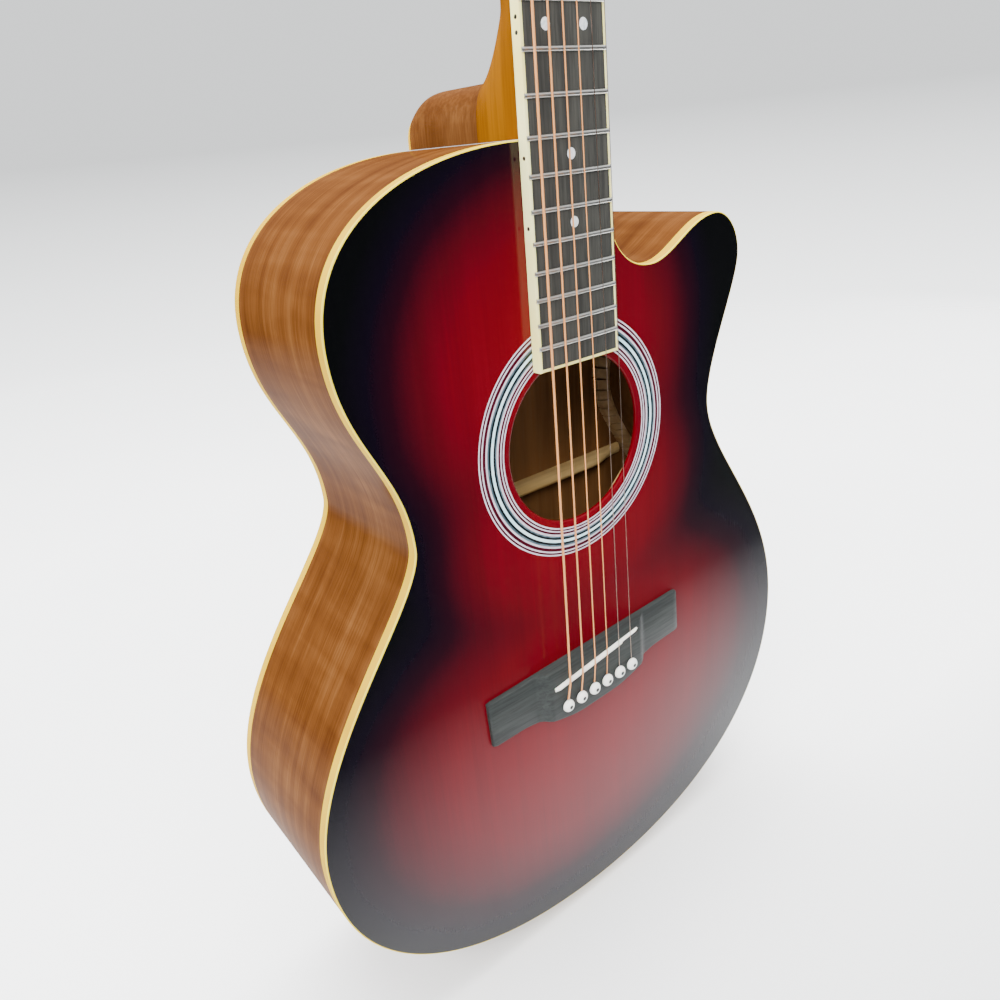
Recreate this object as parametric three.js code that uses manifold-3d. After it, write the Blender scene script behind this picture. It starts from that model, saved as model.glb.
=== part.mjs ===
// Steel-string acoustic guitar with a round cutaway, as an assembly of its real pieces.
// Millimetres. +Z runs up the neck, -Y is the front, +X is the treble (cutaway) side.
// Inside the guitar group, y = 0 is the front face of the soundboard and z = 0 is the tail of the body.

import * as THREE from 'three';
import { mergeVertices } from 'three/addons/utils/BufferGeometryUtils.js';
import Module from 'manifold-3d';

const wasm = await Module();
wasm.setup();

// ---------- driving dimensions ----------

const GAP = 0.3;                   // clearance between neighbouring pieces
const SCALE_LENGTH = 650;          // nut to twelfth fret, doubled
const FRET_COUNT = 21;
const JOINT_FRET = 14;             // fret over the neck and body joint
const BODY_LENGTH = 484;
const DEPTH_AT_NECK = 93;          // body depth at the heel
const DEPTH_AT_TAIL = 108;         // body depth at the tail
const END_PIN_STAND = 10;          // end pin below the tail
const FACE_Y = -47.7;              // soundboard face, so that the guitar's box is centred

const LOWER_BOUT = { x: 190, z: 146 };
const WAIST_BASS = { x: -111, z: 306 };
const WAIST_TREBLE = { x: 112.5, z: 325 };
const UPPER_BASS = { x: -140, z: 410 };
const UPPER_TREBLE = { x: 139.5, z: 410 };
const HORN_TIP = { x: 117, z: 436 };
const CUTAWAY_FLOOR = { x: 62, z: 415.8 };
const NECK_HALF_AT_BODY = 27;
const CUTAWAY_EDGE_X = 25;

const TOP_THICKNESS = 3;
const BACK_THICKNESS = 3;
const RIB_THICKNESS = 2.2;
const BINDING = { width: 2, height: 6 };
const END_PIN = { y: 52, shaft: 4, head: 8, inside: 24 };
const LINING = { width: 5.5, depth: 11.7 };

const SOUNDHOLE = { z: 331.5, radius: 47.5 };
const ROSETTE = { inner: 51.6, outer: 68.4, depth: 0.8 };

const BOARD = { thickness: 6.2, halfAtNut: 21.5, halfAtEnd: 28, end: 375.5, bindingWidth: 1.6 };
const FRET = { width: 2.2, height: 1.1 };
const NUT = { length: 5, height: 8.4 };

const HEAD = { tilt: 14, length: 176, thickness: 15, veneer: 1.5 };
const POST = { spacing: 38, first: 44, x: 22, radius: 3, stand: 19 };
const WHEEL = { radius: 5.6, length: 4.5, lift: 1.2 };
const WORM = { radius: 2.9, length: 8, offset: 8.9 };
const PLATE = { thickness: 1.2, halfWidth: 7.5, end: 9 };

const BRIDGE = {
  halfLength: 80, front: 199, rear: 168, belly: 159, halfMiddle: 39, shoulder: 6, height: 8.5, wing: 3.5,
  turn: 0.035,                     // glued on slightly askew, treble end towards the neck
};
const PIN = { z: 171.5, spacing: 11.07, radius: 2.5, holeRadius: 2.8, headRadius: 4, inside: 14 };
const SADDLE = {
  centre: { x: -1, z: 190.5 }, halfLength: 35.5, thickness: 2.4, slope: 0.14, top: 10.6, foot: 3.5,
};
const STRING_SPACING = { nut: 7.2, saddle: 10.49 };
const STRING_RADII = [0.67, 0.53, 0.41, 0.31, 0.2, 0.16];

const X_BRACE = { z: 243, length: 480, width: 9, depth: 12, angle: THREE.MathUtils.degToRad(42) };
const TRANSVERSE_BRACE = { x: 0, z: 402, length: 320, width: 12, depth: 14, angle: 0 };
const TONE_BARS = [
  { x: 14, z: 128, length: 150, width: 7, depth: 10, angle: -0.3 },
  { x: 6, z: 78, length: 210, width: 7, depth: 10, angle: -0.3 },
];
const BACK_BRACES = [
  { z: 80, width: 16, depth: 8 }, { z: 170, width: 16, depth: 8 },
  { z: 265.5, width: 8, depth: 13 }, { z: 385, width: 8, depth: 13 },
];
const BRIDGE_PLATE = { half: 42, rear: 158, front: 196, thickness: 2.5 };
const NECK_BLOCK = { half: 38, start: 424 };
const TAIL_BLOCK = { half: 32, end: 24 };

const NECK = { depthAtNut: 15, depthAtHeel: 17.5, margin: 0.4 };
const HEEL = {
  length: 92, lineY: 30, standOff: 27, halfWidth: 26.5, capThickness: 2,
  sweepDepth: 36.5, sweep: 18,     // the curve up to the neck starts at this depth, and how slowly it rises
  roundDepth: 72, rounding: 9,     // the back edge rounds off from this depth, by this much
};
const TRUSS_ROD = { half: 3, depth: 9.7, end: 8 };
const FRET_RAIL = { halfWidth: 0.6, depth: 1.2 };
const COVER = {
  thickness: 2,
  outline: [[-11, 3], [11, 3], [10, 12], [5, 22], [0, 34], [-5, 22], [-10, 12]],
};

const PLATE_Y = HEAD.thickness + GAP;
const SHAFT_Y = PLATE_Y + PLATE.thickness + WHEEL.lift + WHEEL.length / 2;
const SHAFT = { radius: 1.9, reach: 19 };
const EAR = { thickness: 1.4, halfWidth: 3.6, inner: 5.4, above: 3.4 };
const BUTTON = { halfLength: 7, halfThickness: 4, halfWidth: 9 };

const NUT_Z = BODY_LENGTH + SCALE_LENGTH * (1 - 2 ** (-JOINT_FRET / 12));
const NUT_STRING_Y = -8.9;
const SADDLE_STRING_Y = -11.6;

// ---------- finishes ----------

const finish = (color, roughness, metalness = 0) => (
  new THREE.MeshStandardMaterial({ color, roughness, metalness })
);

const FINISHES = {
  burstTop: finish(0x8c0a12, 0.12),
  sideWood: finish(0xa9602a, 0.22),
  neckWood: finish(0xc07a1c, 0.25),
  insideWood: finish(0xb98a54, 0.75),
  darkWood: finish(0x35373a, 0.6),
  creamPlastic: finish(0xf0e2a8, 0.3),
  rosette: finish(0xb9d4dc, 0.25),
  bone: finish(0xf3efe4, 0.4),
  nickel: finish(0xcfd0cc, 0.25, 1),
  bronze: finish(0xd99a63, 0.3, 1),
  steel: finish(0xc9ccd0, 0.2, 1),
  blackPlastic: finish(0x141414, 0.3),
};

// ---------- solids and outlines ----------

const box = (x0, x1, y0, y1, z0, z1) => new THREE.BoxGeometry(x1 - x0, y1 - y0, z1 - z0)
  .translate((x0 + x1) / 2, (y0 + y1) / 2, (z0 + z1) / 2);

function toSolid(geometry) {
  const bare = geometry.clone();
  bare.deleteAttribute('normal');
  bare.deleteAttribute('uv');
  const merged = mergeVertices(bare, 1e-4);
  return new wasm.Manifold(new wasm.Mesh({
    numProp: 3,
    vertProperties: new Float32Array(merged.attributes.position.array),
    triVerts: new Uint32Array(merged.index.array),
  }));
}

function toGeometry(solid) {
  const mesh = solid.getMesh();
  const geometry = new THREE.BufferGeometry();
  geometry.setAttribute('position', new THREE.BufferAttribute(new Float32Array(mesh.vertProperties), 3));
  geometry.setIndex(new THREE.BufferAttribute(new Uint32Array(mesh.triVerts), 1));
  geometry.computeVertexNormals();
  return geometry;
}

const join = (first, ...others) => toGeometry(
  others.reduce((sum, next) => sum.add(toSolid(next)), toSolid(first)),
);
const cut = (first, ...others) => toGeometry(
  others.reduce((rest, next) => rest.subtract(toSolid(next)), toSolid(first)),
);
const overlap = (first, second) => toGeometry(toSolid(first).intersect(toSolid(second)));

// A closed, anticlockwise outline of the body, seen from the front.
function bodyOutline(divisions) {
  const path = new THREE.Path();
  const low = LOWER_BOUT;
  path.moveTo(0, 0);
  path.bezierCurveTo(109, 0, low.x, low.z - 90, low.x, low.z);
  path.bezierCurveTo(
    low.x, low.z + 82, WAIST_TREBLE.x, WAIST_TREBLE.z - 40, WAIST_TREBLE.x, WAIST_TREBLE.z,
  );
  path.bezierCurveTo(
    WAIST_TREBLE.x, WAIST_TREBLE.z + 27, UPPER_TREBLE.x, UPPER_TREBLE.z - 18, UPPER_TREBLE.x, UPPER_TREBLE.z,
  );
  path.bezierCurveTo(
    UPPER_TREBLE.x, UPPER_TREBLE.z + 14, HORN_TIP.x + 12, HORN_TIP.z, HORN_TIP.x, HORN_TIP.z,
  );
  path.bezierCurveTo(
    HORN_TIP.x - 22, HORN_TIP.z, CUTAWAY_FLOOR.x + 18, CUTAWAY_FLOOR.z, CUTAWAY_FLOOR.x, CUTAWAY_FLOOR.z,
  );
  path.bezierCurveTo(
    CUTAWAY_FLOOR.x - 22, CUTAWAY_FLOOR.z, CUTAWAY_EDGE_X, 432, CUTAWAY_EDGE_X, BODY_LENGTH,
  );
  path.lineTo(-NECK_HALF_AT_BODY, BODY_LENGTH);
  path.bezierCurveTo(-83, BODY_LENGTH, UPPER_BASS.x, UPPER_BASS.z + 53, UPPER_BASS.x, UPPER_BASS.z);
  path.bezierCurveTo(
    UPPER_BASS.x, UPPER_BASS.z - 45, WAIST_BASS.x, WAIST_BASS.z + 43, WAIST_BASS.x, WAIST_BASS.z,
  );
  path.bezierCurveTo(WAIST_BASS.x, WAIST_BASS.z - 30, -low.x, low.z + 72, -low.x, low.z);
  path.bezierCurveTo(-low.x, low.z - 90, -109, 0, 0, 0);
  return path.getPoints(divisions).slice(0, -1);
}

// Moves a closed anticlockwise outline inwards, with mitred corners.
function inset(points, distance) {
  const count = points.length;
  return points.map((point, index) => {
    const before = point.clone().sub(points[(index + count - 1) % count]).normalize();
    const after = points[(index + 1) % count].clone().sub(point).normalize();
    const normal = new THREE.Vector2(-before.y - after.y, before.x + after.x);
    const reach = distance / (1 + before.dot(after));
    return point.clone().addScaledVector(normal, reach);
  });
}

const circle = (x, z, radius, count) => Array.from({ length: count }, (_, index) => {
  const angle = (index / count) * Math.PI * 2;
  return new THREE.Vector2(x + radius * Math.cos(angle), z + radius * Math.sin(angle));
});

const rectangle = (x0, x1, z0, z1) => [
  new THREE.Vector2(x0, z0), new THREE.Vector2(x1, z0), new THREE.Vector2(x1, z1), new THREE.Vector2(x0, z1),
];

// A slab with the given outline in x and z. Its front and back are y values, or functions of z.
function slab(points, front, back, holes = []) {
  const shape = new THREE.Shape(points);
  shape.holes = holes.map((hole) => new THREE.Path(hole));
  const geometry = new THREE.ExtrudeGeometry(shape, { depth: 1, bevelEnabled: false });
  geometry.rotateX(Math.PI / 2);
  const position = geometry.attributes.position;
  const level = (edge, z) => (typeof edge === 'function' ? edge(z) : edge);
  for (let index = 0; index < position.count; index += 1) {
    const z = position.getZ(index);
    position.setY(index, THREE.MathUtils.lerp(level(back, z), level(front, z), -position.getY(index)));
  }
  return geometry;
}

// A round piece turned about the line through `from` along `direction`.
// The profile is a list of [radius, distance] pairs.
function turned(profile, from, direction, segments = 12) {
  const points = profile.map(([radius, along]) => new THREE.Vector2(radius, along));
  const geometry = new THREE.LatheGeometry(points, segments);
  const upright = new THREE.Vector3(0, 1, 0);
  const turn = new THREE.Quaternion().setFromUnitVectors(upright, direction.clone().normalize());
  return geometry.applyQuaternion(turn).translate(from.x, from.y, from.z);
}

const at = (x, y, z) => new THREE.Vector3(x, y, z);
const TO_FRONT = at(0, -1, 0);
const TO_BACK = at(0, 1, 0);

// A straight rod of a given radius from one point to another.
function rod(from, to, radius, segments = 8) {
  const length = from.distanceTo(to);
  return turned([[0, 0], [radius, 0], [radius, length], [0, length]], from, to.clone().sub(from), segments);
}

// ---------- where things are ----------

const fretZ = (fret) => NUT_Z - SCALE_LENGTH * (1 - 2 ** (-fret / 12));
const backY = (z) => THREE.MathUtils.lerp(DEPTH_AT_TAIL, DEPTH_AT_NECK, z / BODY_LENGTH);
const backOffset = (offset) => (z) => backY(z) + offset;
const boardHalf = (z) => THREE.MathUtils.mapLinear(z, NUT_Z, BOARD.end, BOARD.halfAtNut, BOARD.halfAtEnd);
const STRINGS = [0, 1, 2, 3, 4, 5];
const pinSpot = (index) => {
  const along = (index - 2.5) * PIN.spacing;
  return { x: along * Math.cos(BRIDGE.turn), z: PIN.z + along * Math.sin(BRIDGE.turn) };
};
const pinHoles = () => STRINGS.map(pinSpot).map(({ x, z }) => circle(x, z, PIN.holeRadius, 8));
const saddleX = (index) => (index - 2.5) * STRING_SPACING.saddle;
const nutX = (index) => (index - 2.5) * STRING_SPACING.nut;
const saddleZ = (x) => SADDLE.centre.z + SADDLE.slope * (x - SADDLE.centre.x);

const OUTLINE = bodyOutline(8);
const INNER_SIDE = inset(OUTLINE, RIB_THICKNESS);
const PANEL = inset(OUTLINE, BINDING.width + GAP);
const LINING_OUTER = inset(OUTLINE, RIB_THICKNESS + GAP);
const LINING_INNER = inset(OUTLINE, RIB_THICKNESS + GAP + LINING.width);
const CLEAR_OF_LINING = inset(OUTLINE, RIB_THICKNESS + LINING.width + 2 * GAP);
const LINING_FRONT = TOP_THICKNESS + GAP;
const LINING_END = LINING_FRONT + LINING.depth;

// ---------- the assembly ----------

const guitar = new THREE.Group();
guitar.position.set(0, FACE_Y, END_PIN_STAND);

function piece(name, geometry, material, parent = guitar) {
  const mesh = new THREE.Mesh(geometry, material);
  mesh.name = name;
  parent.add(mesh);
  return mesh;
}

// ---------- body shell ----------

function soundboard() {
  const hole = circle(0, SOUNDHOLE.z, SOUNDHOLE.radius, 40);
  const panel = slab(PANEL, 0, TOP_THICKNESS, [hole, ...pinHoles()]);
  const groove = slab(
    circle(0, SOUNDHOLE.z, ROSETTE.outer + GAP, 40), -1, ROSETTE.depth + GAP,
    [circle(0, SOUNDHOLE.z, ROSETTE.inner - GAP, 40)],
  );
  return cut(panel, groove);
}

function rosette() {
  const inner = circle(0, SOUNDHOLE.z, ROSETTE.inner, 40);
  return slab(circle(0, SOUNDHOLE.z, ROSETTE.outer, 40), 0, ROSETTE.depth, [inner]);
}

// One bent side: the wall between the bindings, from the tail seam to the seam under the heel.
function rib(fromX, toX) {
  const wall = slab(OUTLINE, BINDING.height + GAP, backOffset(-BINDING.height - GAP), [INNER_SIDE]);
  const pinHole = rod(at(0, END_PIN.y, -20), at(0, END_PIN.y, 20), END_PIN.shaft + GAP, 12);
  return overlap(cut(wall, pinHole), box(fromX, toX, -50, 200, -50, BODY_LENGTH + 50));
}

function bodyShell() {
  const ring = (front, back) => slab(OUTLINE, front, back, [inset(OUTLINE, BINDING.width)]);
  piece('soundboard', soundboard(), FINISHES.burstTop);
  piece('rosette', rosette(), FINISHES.rosette);
  piece('back_plate', slab(PANEL, backOffset(-BACK_THICKNESS), backY), FINISHES.sideWood);
  piece('rib_bass', rib(-300, -GAP / 2), FINISHES.sideWood);
  piece('rib_treble', rib(GAP / 2, 300), FINISHES.sideWood);
  piece('top_binding', ring(0, BINDING.height), FINISHES.creamPlastic);
  piece('back_binding', ring(backOffset(-BINDING.height), backY), FINISHES.creamPlastic);
}

// ---------- inside the body ----------

function linings() {
  const backInner = backOffset(-BACK_THICKNESS - GAP);
  const backEnd = backOffset(-LINING_END);
  piece('top_lining', slab(LINING_OUTER, LINING_FRONT, LINING_END, [LINING_INNER]), FINISHES.insideWood);
  piece('back_lining', slab(LINING_OUTER, backEnd, backInner, [LINING_INNER]), FINISHES.insideWood);
}

// An end block: full depth inside the linings, and out to the sides between them.
function endBlock(limits) {
  const between = slab(LINING_OUTER, LINING_END + GAP, backOffset(-LINING_END - GAP));
  const inside = slab(CLEAR_OF_LINING, TOP_THICKNESS + GAP, backOffset(-BACK_THICKNESS - GAP));
  return overlap(join(between, inside), limits);
}

function endBlocks() {
  const deep = DEPTH_AT_TAIL + 5;
  const neckLimits = box(-NECK_BLOCK.half, NECK_BLOCK.half, -5, deep, NECK_BLOCK.start, BODY_LENGTH + 5);
  const tailLimits = box(-TAIL_BLOCK.half, TAIL_BLOCK.half, -5, deep, -5, TAIL_BLOCK.end);
  const pinHole = rod(at(0, END_PIN.y, -20), at(0, END_PIN.y, 60), END_PIN.shaft + GAP, 12);
  piece('neck_block', endBlock(neckLimits), FINISHES.insideWood);
  piece('tail_block', cut(endBlock(tailLimits), pinHole), FINISHES.insideWood);
}

// The outline of a bar: a rectangle turned by `angle` about its centre.
function barOutline({ x, z, length, width, angle }) {
  const centre = new THREE.Vector2(x, z);
  return rectangle(-length / 2, length / 2, -width / 2, width / 2)
    .map((point) => point.rotateAround(new THREE.Vector2(0, 0), angle).add(centre));
}

// A bar glued under the soundboard, trimmed to the space inside the lining.
function topBar(bar) {
  const front = TOP_THICKNESS + GAP;
  return overlap(slab(barOutline(bar), front, front + bar.depth), slab(CLEAR_OF_LINING, 0, 60));
}

// The two arms cross in a lap joint: each is notched to half its depth.
function xBrace() {
  const arm = (sign) => ({ ...X_BRACE, x: 0, angle: sign * X_BRACE.angle });
  const middle = TOP_THICKNESS + GAP + X_BRACE.depth / 2;
  const notch = (sign, y0, y1) => overlap(
    slab(barOutline({ ...arm(sign), width: X_BRACE.width + 2 * GAP }), -5, 60),
    box(-40, 40, y0, y1, X_BRACE.z - 40, X_BRACE.z + 40),
  );
  piece('x_brace_bass', cut(topBar(arm(1)), notch(-1, middle - GAP / 2, 60)), FINISHES.insideWood);
  piece('x_brace_treble', cut(topBar(arm(-1)), notch(1, -5, middle + GAP / 2)), FINISHES.insideWood);
}

function topBraces() {
  xBrace();
  piece('upper_transverse_brace', topBar(TRANSVERSE_BRACE), FINISHES.insideWood);
  piece('tone_bar_upper', topBar(TONE_BARS[0]), FINISHES.insideWood);
  piece('tone_bar_lower', topBar(TONE_BARS[1]), FINISHES.insideWood);
}

function bridgePlate() {
  const { half, rear, front, thickness } = BRIDGE_PLATE;
  const start = TOP_THICKNESS + GAP;
  const plate = slab(rectangle(-half, half, rear, front), start, start + thickness, pinHoles());
  piece('bridge_plate', plate, FINISHES.insideWood);
}

function backBraces() {
  BACK_BRACES.forEach(({ z, width, depth }, index) => {
    const inner = backOffset(-BACK_THICKNESS - GAP - depth);
    const strip = rectangle(-250, 250, z - width / 2, z + width / 2);
    const bar = slab(strip, inner, backOffset(-BACK_THICKNESS - GAP));
    piece(`back_brace_${index + 1}`, overlap(bar, slab(CLEAR_OF_LINING, 0, 200)), FINISHES.insideWood);
  });
}

// ---------- bridge ----------

// Turns a piece of the bridge about the middle of the pins, as the bridge is glued on.
const askew = (geometry) => geometry.translate(0, 0, -PIN.z).rotateY(-BRIDGE.turn).translate(0, 0, PIN.z);

function bridge() {
  const { halfLength, halfMiddle, shoulder, height, wing, front, rear, belly } = BRIDGE;
  const side = new THREE.Shape([
    [-halfLength, 0], [halfLength, 0], [halfLength, wing], [halfMiddle + shoulder, wing + 0.8],
    [halfMiddle, height], [-halfMiddle, height], [-halfMiddle - shoulder, wing + 0.8], [-halfLength, wing],
  ].map(([x, y]) => new THREE.Vector2(x, y)));
  const bar = new THREE.ExtrudeGeometry(side, { depth: front - belly, bevelEnabled: false });
  bar.rotateZ(Math.PI).translate(0, -GAP, belly);
  const bellied = [
    [-halfLength, rear], [-halfMiddle - 12, rear - 1], [-22, belly + 1], [0, belly],
    [22, belly + 1], [halfMiddle + 12, rear - 1], [halfLength, rear],
    [halfLength, front], [-halfLength, front],
  ].map(([x, z]) => new THREE.Vector2(x, z));
  const blank = askew(overlap(bar, slab(bellied, -30, 10)));
  return cut(blank, saddleBar(GAP, -30, -SADDLE.foot), ...pinHoles().map((hole) => slab(hole, -30, 10)));
}

// The saddle's bar, wider all round by `margin`, between two y values.
function saddleBar(margin, front, back) {
  const half = SADDLE.halfLength + margin;
  const thick = SADDLE.thickness / 2 + margin;
  const angle = Math.atan(SADDLE.slope);
  const corners = rectangle(-half, half, -thick, thick);
  const placed = corners.map((point) => point.rotateAround(new THREE.Vector2(0, 0), angle)
    .add(new THREE.Vector2(SADDLE.centre.x, SADDLE.centre.z)));
  return slab(placed, front, back);
}

function bridgeParts() {
  piece('bridge', bridge(), FINISHES.darkWood);
  piece('saddle', saddleBar(0, -SADDLE.top, -SADDLE.foot - GAP), FINISHES.bone);
  const bridgeTop = BRIDGE.height + GAP;
  for (const index of STRINGS) {
    const { x, z } = pinSpot(index);
    const profile = [
      [0, -PIN.inside], [PIN.radius - 0.5, -PIN.inside], [PIN.radius, bridgeTop + GAP],
      [PIN.headRadius, bridgeTop + GAP], [PIN.headRadius, bridgeTop + 1.6],
      [PIN.headRadius * 0.6, bridgeTop + 3.2], [0, bridgeTop + 3.8],
    ];
    piece(`bridge_pin_${6 - index}`, turned(profile, at(x, 0, z), TO_FRONT, 10), FINISHES.bone);
  }
}

function endPin() {
  const { shaft, head, inside } = END_PIN;
  const profile = [
    [0, -inside], [shaft - 0.8, -inside], [shaft, -GAP], [shaft, GAP], [head, GAP], [head - 0.5, 2.5],
    [head - 3, 5], [head - 1, 8.5], [head - 1.5, END_PIN_STAND], [0, END_PIN_STAND],
  ];
  piece('end_pin', turned(profile, at(0, END_PIN.y, 0), at(0, 0, -1), 16), FINISHES.creamPlastic);
}

// ---------- neck ----------

// A half-round section, one unit deep and one unit to each side, with a flat front.
// The smaller the powers, the flatter its sides and its back.
function halfRound(acrossPower, deepPower) {
  const steps = 12;
  return Array.from({ length: steps + 1 }, (_, index) => {
    const angle = (index / steps) * Math.PI;
    const x = Math.sign(Math.cos(angle)) * Math.abs(Math.cos(angle)) ** acrossPower;
    return new THREE.Vector2(x, Math.sin(angle) ** deepPower);
  });
}

function neckShaft() {
  const start = BODY_LENGTH + GAP;
  const length = NUT_Z + NUT.length - start;
  const geometry = new THREE.ExtrudeGeometry(new THREE.Shape(halfRound(0.8, 0.75)), {
    depth: length, steps: 6, bevelEnabled: false,
  }).translate(0, 0, start);
  const position = geometry.attributes.position;
  for (let index = 0; index < position.count; index += 1) {
    const z = position.getZ(index);
    const depth = THREE.MathUtils.mapLinear(z, BODY_LENGTH, NUT_Z, NECK.depthAtHeel, NECK.depthAtNut);
    position.setX(index, position.getX(index) * (boardHalf(z) - NECK.margin));
    position.setY(index, position.getY(index) * depth);
  }
  return geometry;
}

// How far the heel stands above the shoulder of the body at depth y.
function heelStand(y) {
  const sweep = Math.max(0, HEEL.sweepDepth - y);
  const round = Math.max(0, (y - HEEL.roundDepth) / (HEEL.length - HEEL.roundDepth));
  return HEEL.standOff + sweep ** 2 / HEEL.sweep - HEEL.rounding * round ** 3;
}

// The heel between two depths, as a stack of half-round sections that stand on the shoulder.
function heelPart(fromY, toY, steps) {
  const geometry = new THREE.ExtrudeGeometry(new THREE.Shape(halfRound(0.5, 0.6)), {
    depth: toY - fromY, steps, bevelEnabled: false,
  });
  geometry.rotateX(Math.PI / 2).translate(0, toY, 0);
  const position = geometry.attributes.position;
  for (let index = 0; index < position.count; index += 1) {
    const y = position.getY(index);
    position.setX(index, position.getX(index) * HEEL.halfWidth);
    position.setZ(index, BODY_LENGTH + GAP + position.getZ(index) * heelStand(y));
  }
  return geometry;
}

// Outline of the headstock in its own plane, with z = 0 at the nut's far side.
function headOutline(margin = 0) {
  const half = new THREE.Path();
  half.moveTo(BOARD.halfAtNut - margin, 0);
  half.bezierCurveTo(22 - margin, 12, 30 - margin, 12, 31 - margin, 26);
  half.lineTo(36 - margin, HEAD.length - 14 - margin);
  half.bezierCurveTo(36 - margin, HEAD.length - 4, 14, HEAD.length - 6, 0, HEAD.length - margin);
  const right = half.getPoints(6);
  const left = right.slice(0, -1).reverse().map((point) => new THREE.Vector2(-point.x, point.y));
  return [...right, ...left];
}

const ROWS = [0, 1, 2];
const postZ = (row) => POST.first + row * POST.spacing;
const MACHINES = [0, 1, 2, 3, 4, 5].map((string) => {
  const onBass = string < 3;
  return {
    string,
    label: 6 - string,
    side: onBass ? -1 : 1,
    z: postZ(onBass ? string : 5 - string),
  };
});

const headTilt = THREE.MathUtils.degToRad(HEAD.tilt);
const head = new THREE.Group();
head.position.set(0, 0, NUT_Z + NUT.length);
head.rotation.x = -headTilt;
guitar.add(head);
head.updateMatrix();

const inGuitar = (geometry) => geometry.applyMatrix4(head.matrix);

function neckParts() {
  const headBlank = slab(headOutline(), 0, HEAD.thickness);
  const postHoles = MACHINES.map(({ side, z }) => rod(
    at(side * POST.x, -5, z), at(side * POST.x, HEAD.thickness + 5, z), POST.radius + 1.2, 10,
  ));
  const nutFar = NUT_Z + NUT.length;
  const rodSide = TRUSS_ROD.half + GAP;
  const rodChannel = box(-rodSide, rodSide, -1, TRUSS_ROD.depth + GAP, BODY_LENGTH - 5, nutFar + 14);
  const headSolid = cut(headBlank, ...postHoles);
  const wedge = box(-20, 20, 0.2, 13, NUT_Z - 12, nutFar + 1);
  const whole = join(neckShaft(), inGuitar(headSolid), wedge, heelPart(1, HEEL.lineY, 4));
  piece('neck', cut(whole, rodChannel), FINISHES.neckWood);
  const capTop = HEEL.length - HEEL.capThickness;
  piece('heel_block', heelPart(HEEL.lineY + GAP, capTop - GAP, 8), FINISHES.sideWood);
  piece('heel_cap', heelPart(capTop, HEEL.length, 1), FINISHES.creamPlastic);
  const trussRod = box(
    -TRUSS_ROD.half, TRUSS_ROD.half, GAP, TRUSS_ROD.depth, BODY_LENGTH + 2, nutFar + TRUSS_ROD.end,
  );
  piece('truss_rod', trussRod, FINISHES.steel);
}

// ---------- fingerboard ----------

function boardOutline(margin, end) {
  const half = (z) => boardHalf(z) - margin;
  return [
    new THREE.Vector2(half(end), end), new THREE.Vector2(half(NUT_Z), NUT_Z),
    new THREE.Vector2(-half(NUT_Z), NUT_Z), new THREE.Vector2(-half(end), end),
  ];
}

function frets() {
  const top = -GAP - BOARD.thickness - 0.1;
  const wires = Array.from({ length: FRET_COUNT }, (_, index) => {
    const z = fretZ(index + 1);
    const half = boardHalf(z) - 0.2;
    const crown = new THREE.Shape([
      [-0.5, 0], [0.5, 0], [0.22, 1], [-0.22, 1],
    ].map(([along, up]) => new THREE.Vector2(along * FRET.width, up * FRET.height)));
    const wire = new THREE.ExtrudeGeometry(crown, { depth: 2 * half, bevelEnabled: false });
    return wire.rotateY(Math.PI / 2).rotateX(Math.PI).translate(-half, top, z);
  });
  const { halfWidth, depth } = FRET_RAIL;
  const rail = box(-halfWidth, halfWidth, top - 0.1, top + depth, fretZ(FRET_COUNT) - 1, fretZ(1) + 1);
  return join(rail, ...wires);
}

function fingerboardParts() {
  const face = -GAP - BOARD.thickness;
  const coreMargin = BOARD.bindingWidth + GAP / 2;
  const coreEnd = BOARD.end + BOARD.bindingWidth + GAP / 2;
  const groove = box(
    -FRET_RAIL.halfWidth - GAP, FRET_RAIL.halfWidth + GAP, face - 1, face + FRET_RAIL.depth + GAP,
    fretZ(FRET_COUNT) - 2, fretZ(1) + 2,
  );
  const core = slab(boardOutline(coreMargin, coreEnd), face, -GAP);
  piece('fingerboard', cut(core, groove), FINISHES.darkWood);
  const outer = slab(boardOutline(0, BOARD.end), face, -GAP);
  const inner = slab(boardOutline(BOARD.bindingWidth, BOARD.end + BOARD.bindingWidth), face - 5, 5);
  const pastNut = box(-60, 60, face - 5, 5, NUT_Z - 0.01, NUT_Z + 20);
  piece('fingerboard_binding', cut(outer, inner, pastNut), FINISHES.creamPlastic);
  piece('frets', frets(), FINISHES.nickel);
  const half = BOARD.halfAtNut;
  const nut = box(-half, half, -NUT.height, -GAP, NUT_Z + GAP, NUT_Z + NUT.length - GAP);
  piece('nut', nut, FINISHES.bone);
}

// ---------- headstock ----------

function headstockParts() {
  const faceHoles = MACHINES.map(({ side, z }) => circle(side * POST.x, z, POST.radius + 1.2, 10));
  const rodPocket = rectangle(-5, 5, 2, 14);
  const face = slab(headOutline(), -GAP - HEAD.veneer, -GAP, [...faceHoles, rodPocket]);
  const clearOfNut = box(-60, 60, -20, 20, -20, 1.2);
  piece('headstock_veneer', cut(face, clearOfNut), FINISHES.blackPlastic, head);
  const bell = COVER.outline.map(([x, z]) => new THREE.Vector2(x, z));
  const coverBack = -2 * GAP - HEAD.veneer;
  const cover = slab(bell, coverBack - COVER.thickness, coverBack);
  piece('truss_rod_cover', cover, FINISHES.creamPlastic, head);
}

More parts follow.
